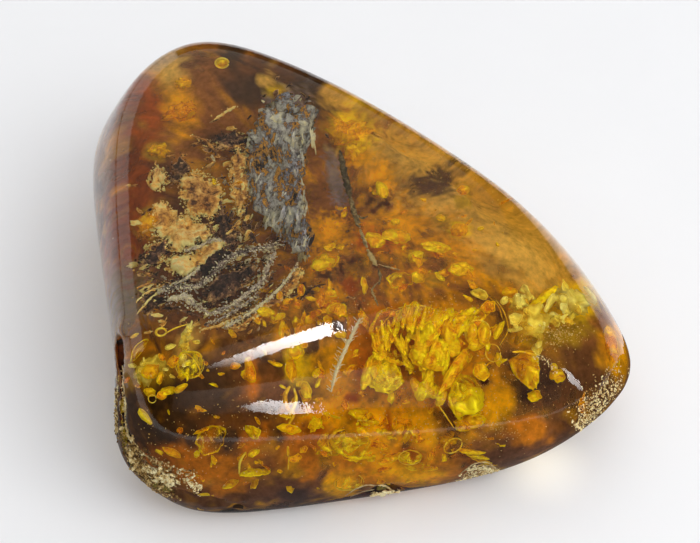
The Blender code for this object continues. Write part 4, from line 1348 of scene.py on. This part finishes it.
def splinter_place(sight, across, share, depth, jitter):
    x, y = between(along(SPLINTER_LEFT, share), along(SPLINTER_RIGHT, share), across)
    return sight.in_bed(x + jitter[0], y + jitter[1], depth)


def splinter_fibres(shape, sight, rng):
    for index in range(SPLINTER_FIBRES):
        across = rng.uniform(0.02, 0.98)
        start = rng.uniform(0.22, 0.9)
        end = min(start + rng.uniform(0.08, 0.35), 1.0)
        depth = BED_DEPTH - rng.uniform(0.0, 0.9)
        slide = rng.gauss(0.0, 0.06)
        places = [splinter_place(sight, clamped(across + slide * step), start + (end - start) * step / 4,
                                 depth, (rng.gauss(0.0, 1.0), rng.gauss(0.0, 0.8))) for step in range(5)]
        tube(shape, smooth_path(places, 5), tapering(rng.uniform(0.6, 2.6), 0.3, 0.1), sides=6, rough=1.1,
             flat=0.45, seed=index * 2.1, shade=rng.random())


def splinter_shreds(shape, sight, rng):
    """Long thin petals along the splinter, and short wide ones at its torn end."""
    for index in range(SPLINTER_SHREDS):
        share = rng.uniform(0.0, 0.97)
        place = splinter_place(sight, rng.uniform(0.0, 1.0), share, BED_DEPTH - rng.uniform(0.3, 1.4),
                               (rng.gauss(0.0, 2.0), 0.0))
        whole = share > TORN_END
        length = rng.uniform(5, 17) if whole else rng.uniform(2, 7)
        frame = turned(leaned(FACING, rng.uniform(-30, 30), rng.uniform(-15, 15)),
                       rng.gauss(100 - 25 * share, 9) if whole else rng.uniform(0, 180))
        petal(shape, place, frame, length, length * rng.uniform(0.08, 0.22 if whole else 0.9),
              rng.uniform(-0.6, 0.6), rng.uniform(-0.3, 0.3), seed=index * 1.7, shade=rng.random(), torn=0.7)


def add_splinter(sight):
    rng = random.Random(5)
    shape = Shape()
    splinter_fibres(shape, sight, rng)
    splinter_shreds(shape, sight, rng)
    shares = [0.06 + 0.94 * step / 8 for step in range(9)]
    backing = [along(SPLINTER_LEFT, share) for share in shares]
    backing += [along(SPLINTER_RIGHT, share) for share in shares[-2::-1]]
    bed_slabs(shape, sight, [backing], (0.28,), 0.9, 0.3, 1.2, 1.2, 70.0)
    for index, (x, y, wide, high) in enumerate(SPLINTER_HEAD):
        blob(shape, sight.in_bed(x, y, BED_DEPTH - 0.5), turned(FACING, 70.0), (high, wide, 5.0), 0.9, 2.4,
             index * 3.1, 0.5 + 0.15 * index)
    add_piece("grey_splinter", shape, matter_material("grey_wood"), "grey_wood", "wood_splinter")


TWIG_LINES = [
    ([(340, 150), (344, 172), (351, 200)], 3.4), ([(350, 196), (354, 212), (360, 228)], 2.8),
    ([(360, 229), (364, 240), (367, 248)], 1.9), ([(367, 249), (372, 258), (377, 266)], 2.6),
    ([(378, 268), (380, 276), (379, 285)], 1.5), ([(378, 282), (372, 290), (375, 298), (378, 306)], 1.2),
    ([(378, 264), (388, 267), (400, 270)], 0.8), ([(356, 214), (362, 218), (368, 216)], 1.2),
]
SPRIG_STEM = [(331, 392), (336, 372), (345, 350), (353, 333), (360, 318)]
SPRIG_DEPTH, SPRIG_FRONDS = 1.9, 70


def add_twig(sight):
    twig = Shape()
    bed_lines(twig, sight, TWIG_LINES, 0.8, lift=0.0, seed=90.0)
    add_piece("twig_bits", twig, matter_material("twig_bark"), "dark_bark", "twig")


def add_sprig(sight):
    rng = random.Random(8)
    sprig = Shape()
    stem = smooth_path([sight.behind(x, y, SPRIG_DEPTH) for x, y in SPRIG_STEM], 8)
    tube(sprig, stem, tapering(1.7, 0.4, 0.2), sides=9, rough=0.9)
    for index in range(SPRIG_FRONDS):
        share = rng.uniform(0.02, 0.98)
        start = stem[int(share * (len(stem) - 1))]
        side = rng.choice((-1, 1))
        reach = rng.uniform(3.0, 9.0) * (1.0 - 0.5 * abs(share - 0.5))
        tip = start + (RIGHT * side * rng.uniform(0.4, 1.0) + UP * rng.uniform(0.2, 1.0)
                       + TOWARD * rng.uniform(-0.4, 0.2)).normalized() * reach * PIXEL
        bend = (start + tip) / 2 + UP * rng.uniform(-1.0, 1.0) * PIXEL
        tube(sprig, smooth_path([start, bend, tip], 4), tapering(0.32, 0.6, 0.2), sides=5,
             shade=rng.random())
    add_piece("moss_sprig_fronds", sprig, matter_material("pale_moss"), "moss", "moss_sprig")


# ---- ribbons, rings and specks ---------------------------------------------------------------
# points (px), half width (px), depth
RIBBONS = [
    ([(290, 386), (285, 396), (287, 408), (293, 414), (289, 424)], 2.6, 2.0),
    ([(294, 388), (296, 400), (291, 412), (286, 420)], 1.8, 1.8),
    ([(246, 452), (240, 462), (239, 474)], 1.3, 1.8),
    ([(288, 446), (288, 456)], 1.4, 1.8), ([(289, 456), (288, 470)], 0.7, 1.9),
    ([(345, 429), (334, 433), (328, 442), (332, 455)], 1.0, 2.2),
    ([(437, 403), (446, 416), (454, 428)], 0.7, 2.4),
    ([(500, 360), (488, 364), (484, 372)], 0.9, 2.6),
    ([(166, 333), (176, 328), (188, 324)], 0.8, 1.6),
    ([(357, 420), (366, 421), (374, 422)], 0.7, 3.6),
    ([(512, 352), (524, 352), (538, 356)], 1.2, 1.9),
    ([(398, 308), (416, 305), (434, 309)], 0.7, 3.4),
    ([(371, 347), (378, 332), (390, 316), (404, 308)], 0.7, 3.4),
    ([(496, 300), (504, 312), (508, 330), (500, 345)], 0.5, 3.0),
    ([(488, 296), (498, 306), (503, 320)], 0.5, 3.0),
    ([(180, 352), (190, 356), (198, 366), (202, 376)], 0.5, 1.8),
]
# centre x and y, half length, half width, tube half width (px), turn, depth
RINGS = [
    (161, 332, 4.5, 4.0, 1.2, 0, 1.8), (478, 333, 12, 11, 0.9, 20, 2.4), (493, 353, 7, 8, 0.4, 20, 2.4),
    (152, 399, 3.5, 3.5, 0.5, 0, 1.6), (222, 63, 7, 6.5, 1.0, 0, 2.6), (453, 446, 9, 7, 0.8, 30, 2.2),
    (190, 364, 13, 12, 0.35, 30, 2.0), (349, 483, 14, 12, 0.5, 0, 1.8), (410, 458, 11, 8, 0.4, 0, 2.4),
]
RING_STEPS, RING_CLOSED = 40, 0.97       # points round a ring, and the share of the turn that it makes


def add_ribbons(sight):
    shape = Shape()
    for index, (line, width, depth) in enumerate(RIBBONS):
        path = smooth_path([sight.behind(x, y, depth) for x, y in line], 10)
        tube(shape, path, tapering(width, 0.3, 0.2), sides=8, flat=0.45, shade=(index * 0.43) % 1.0)
    for index, (x, y, length, width, thick, turn, depth) in enumerate(RINGS):
        across, up, out = turned(leaned(FACING, 12.0 * math.sin(index), 10.0 * math.cos(index * 2.0)), turn)
        centre, path = sight.behind(x, y, depth), []
        for step in range(RING_STEPS):
            angle = 2 * math.pi * step / (RING_STEPS - 1) * RING_CLOSED
            path.append(centre + (across * math.cos(angle) * length + up * math.sin(angle) * width) * PIXEL)
        tube(shape, path, tapering(thick, 0.6, 0.6), sides=7, shade=0.8)
    add_piece("gold_ribbons", shape, scale_material("gold_ribbon"), "gold_scale")


# centre x and y, spread x and y (px), count, nearest and farthest depth (mm), size (px)
SPECKS = [
    (520, 370, 55, 40, 260, 0.4, 3.0, 0.35), (560, 335, 22, 12, 220, 1.6, 2.6, 0.5),
    (300, 300, 160, 80, 420, 0.4, 6.0, 0.35), (230, 440, 90, 45, 320, 0.4, 5.0, 0.4),
    (420, 420, 110, 60, 420, 0.4, 5.0, 0.35), (470, 190, 110, 90, 260, 1.0, 6.0, 0.4),
    (495, 425, 30, 22, 160, 0.8, 3.0, 0.35), (430, 310, 60, 20, 160, 0.5, 2.0, 0.35),
]


def add_specks(sight):
    rng = random.Random(21)
    shape = Shape()
    for x, y, wide, high, count, near, far, size in SPECKS:
        for _ in range(count):
            px, py = rng.gauss(x, wide / 2), rng.gauss(y, high / 2)
            place = sight.behind(px, py, rng.uniform(near, far))
            grow = size * rng.uniform(0.5, 1.6) * PIXEL
            long = rng.choice((1.0, 1.0, 2.4))
            axes = [Vector(rng.uniform(-1, 1) for _ in range(3)).normalized() for _ in range(3)]
            speck(shape, place, axes, long - 1.0, grow, rng.random())
    add_piece("dust_specks", shape, scale_material("dust"), "amber")


# ---- rind and chips on the surface -------------------------------------------------------------
# points (px), spread (px), grains a pixel, smallest and largest (px), middle shade
CRUST_LINES = [
    ([(121, 372), (123, 395), (124, 411), (127, 436)], 0.8, 1.2, 0.3, 0.9, 0.5),
    ([(127, 436), (136, 448), (149, 458), (162, 464)], 2.0, 3.0, 0.4, 1.4, 0.35),
    ([(130, 446), (136, 460), (146, 472), (158, 478)], 4.5, 6.0, 0.6, 3.4, 0.15),
    ([(148, 472), (160, 476), (174, 482)], 3.2, 5.0, 0.6, 3.0, 0.85),
    ([(184, 478), (192, 484), (200, 490)], 3.0, 5.0, 0.5, 1.6, 0.8),
    ([(162, 464), (180, 470), (196, 474)], 2.2, 2.0, 0.4, 1.2, 0.4),
    ([(132, 470), (150, 486), (176, 498)], 3.0, 3.0, 0.5, 1.8, 0.2),
    ([(614, 376), (602, 392), (590, 408), (580, 420)], 7.0, 10.0, 0.3, 1.1, 0.65),
    ([(620, 380), (606, 402), (588, 420)], 2.0, 3.0, 0.4, 1.2, 0.8),
    ([(576, 424), (582, 428)], 2.5, 6.0, 0.6, 1.4, 0.9),
    ([(536, 356), (548, 362), (556, 372)], 1.6, 3.0, 0.3, 0.8, 0.7),
    ([(113, 392), (112, 408), (114, 424), (120, 438)], 3.0, 4.0, 0.6, 2.2, 0.25),
    # The pale grains on the chip's rim below are its pearly broken amber and, in part, painted highlight for
    # its white glints.
    ([(372, 495), (384, 496), (398, 495)], 1.8, 4.0, 0.8, 2.2, 0.95),
    ([(462, 479), (480, 473), (498, 472)], 2.8, 7.0, 0.4, 1.3, 0.7),
    ([(470, 470), (482, 468), (492, 470)], 1.6, 6.0, 0.4, 1.2, 0.9),
]
# points (px), half width (px): thin edges of cracks and fractures that reach the surface
RIM_LINES = [
    ([(121, 366), (124, 390), (124, 411), (127, 436), (136, 448), (149, 458), (160, 462)], 1.0),
    ([(345, 496), (356, 489), (370, 485), (386, 487), (398, 494)], 1.0),
    ([(350, 497), (362, 492), (374, 490)], 0.7), ([(452, 486), (466, 482), (482, 478), (499, 474)], 1.1),
    ([(460, 474), (474, 464), (488, 463), (499, 471)], 1.0), ([(463, 480), (478, 471), (494, 470)], 0.7),
    ([(466, 470), (480, 467), (492, 468)], 0.6), ([(461, 477), (476, 466), (490, 466), (500, 473)], 0.8),
    ([(458, 483), (472, 477), (486, 474), (498, 475)], 0.9), ([(464, 483), (480, 480), (494, 477)], 0.7),
]


def add_crust(sight):
    rng = random.Random(29)
    shape = Shape()
    for line, spread, per_pixel, small, large, shade in CRUST_LINES:
        for x, y in spots_along(line, 1.0, per_pixel, spread, rng):
            start, ray = sight.inward(x, y)
            size = rng.uniform(small, large)
            grain(shape, start + ray * size * 0.6 * PIXEL, size, rng, clamped(rng.gauss(shade, 0.25)))
    for index, (line, width) in enumerate(RIM_LINES):
        path = [sight.behind(x, y, 0.25) for x, y in line]
        tube(shape, smooth_path(path, 12), tapering(width, 0.5, 0.4), sides=7, rough=1.0, flat=0.6,
             seed=index * 4.3, shade=0.85)
    add_piece("rind_crust_and_glints", shape, matter_material("rind"), "amber")


# ---- the scene -----------------------------------------------------------------------------
def write_size():
    boxes = {"cad": CAD_BOX, "visual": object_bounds()}
    plain = {name: [[float(x) for x in corner] for corner in box] for name, box in boxes.items()}


bpy.context.scene.view_settings.view_transform = "Standard"
camera = add_camera()
add_world()
add_floor_gleam()
add_key()
add_cards()
add_floor()
stone = stone_mesh()
add_stone(stone)
sight = Sight(stone, camera)
add_scales(sight)
add_clouds(sight)
add_veils(sight)
add_bark(sight)
add_splinter(sight)
add_twig(sight)
add_sprig(sight)
add_ribbons(sight)
add_specks(sight)
add_crust(sight)
write_size()
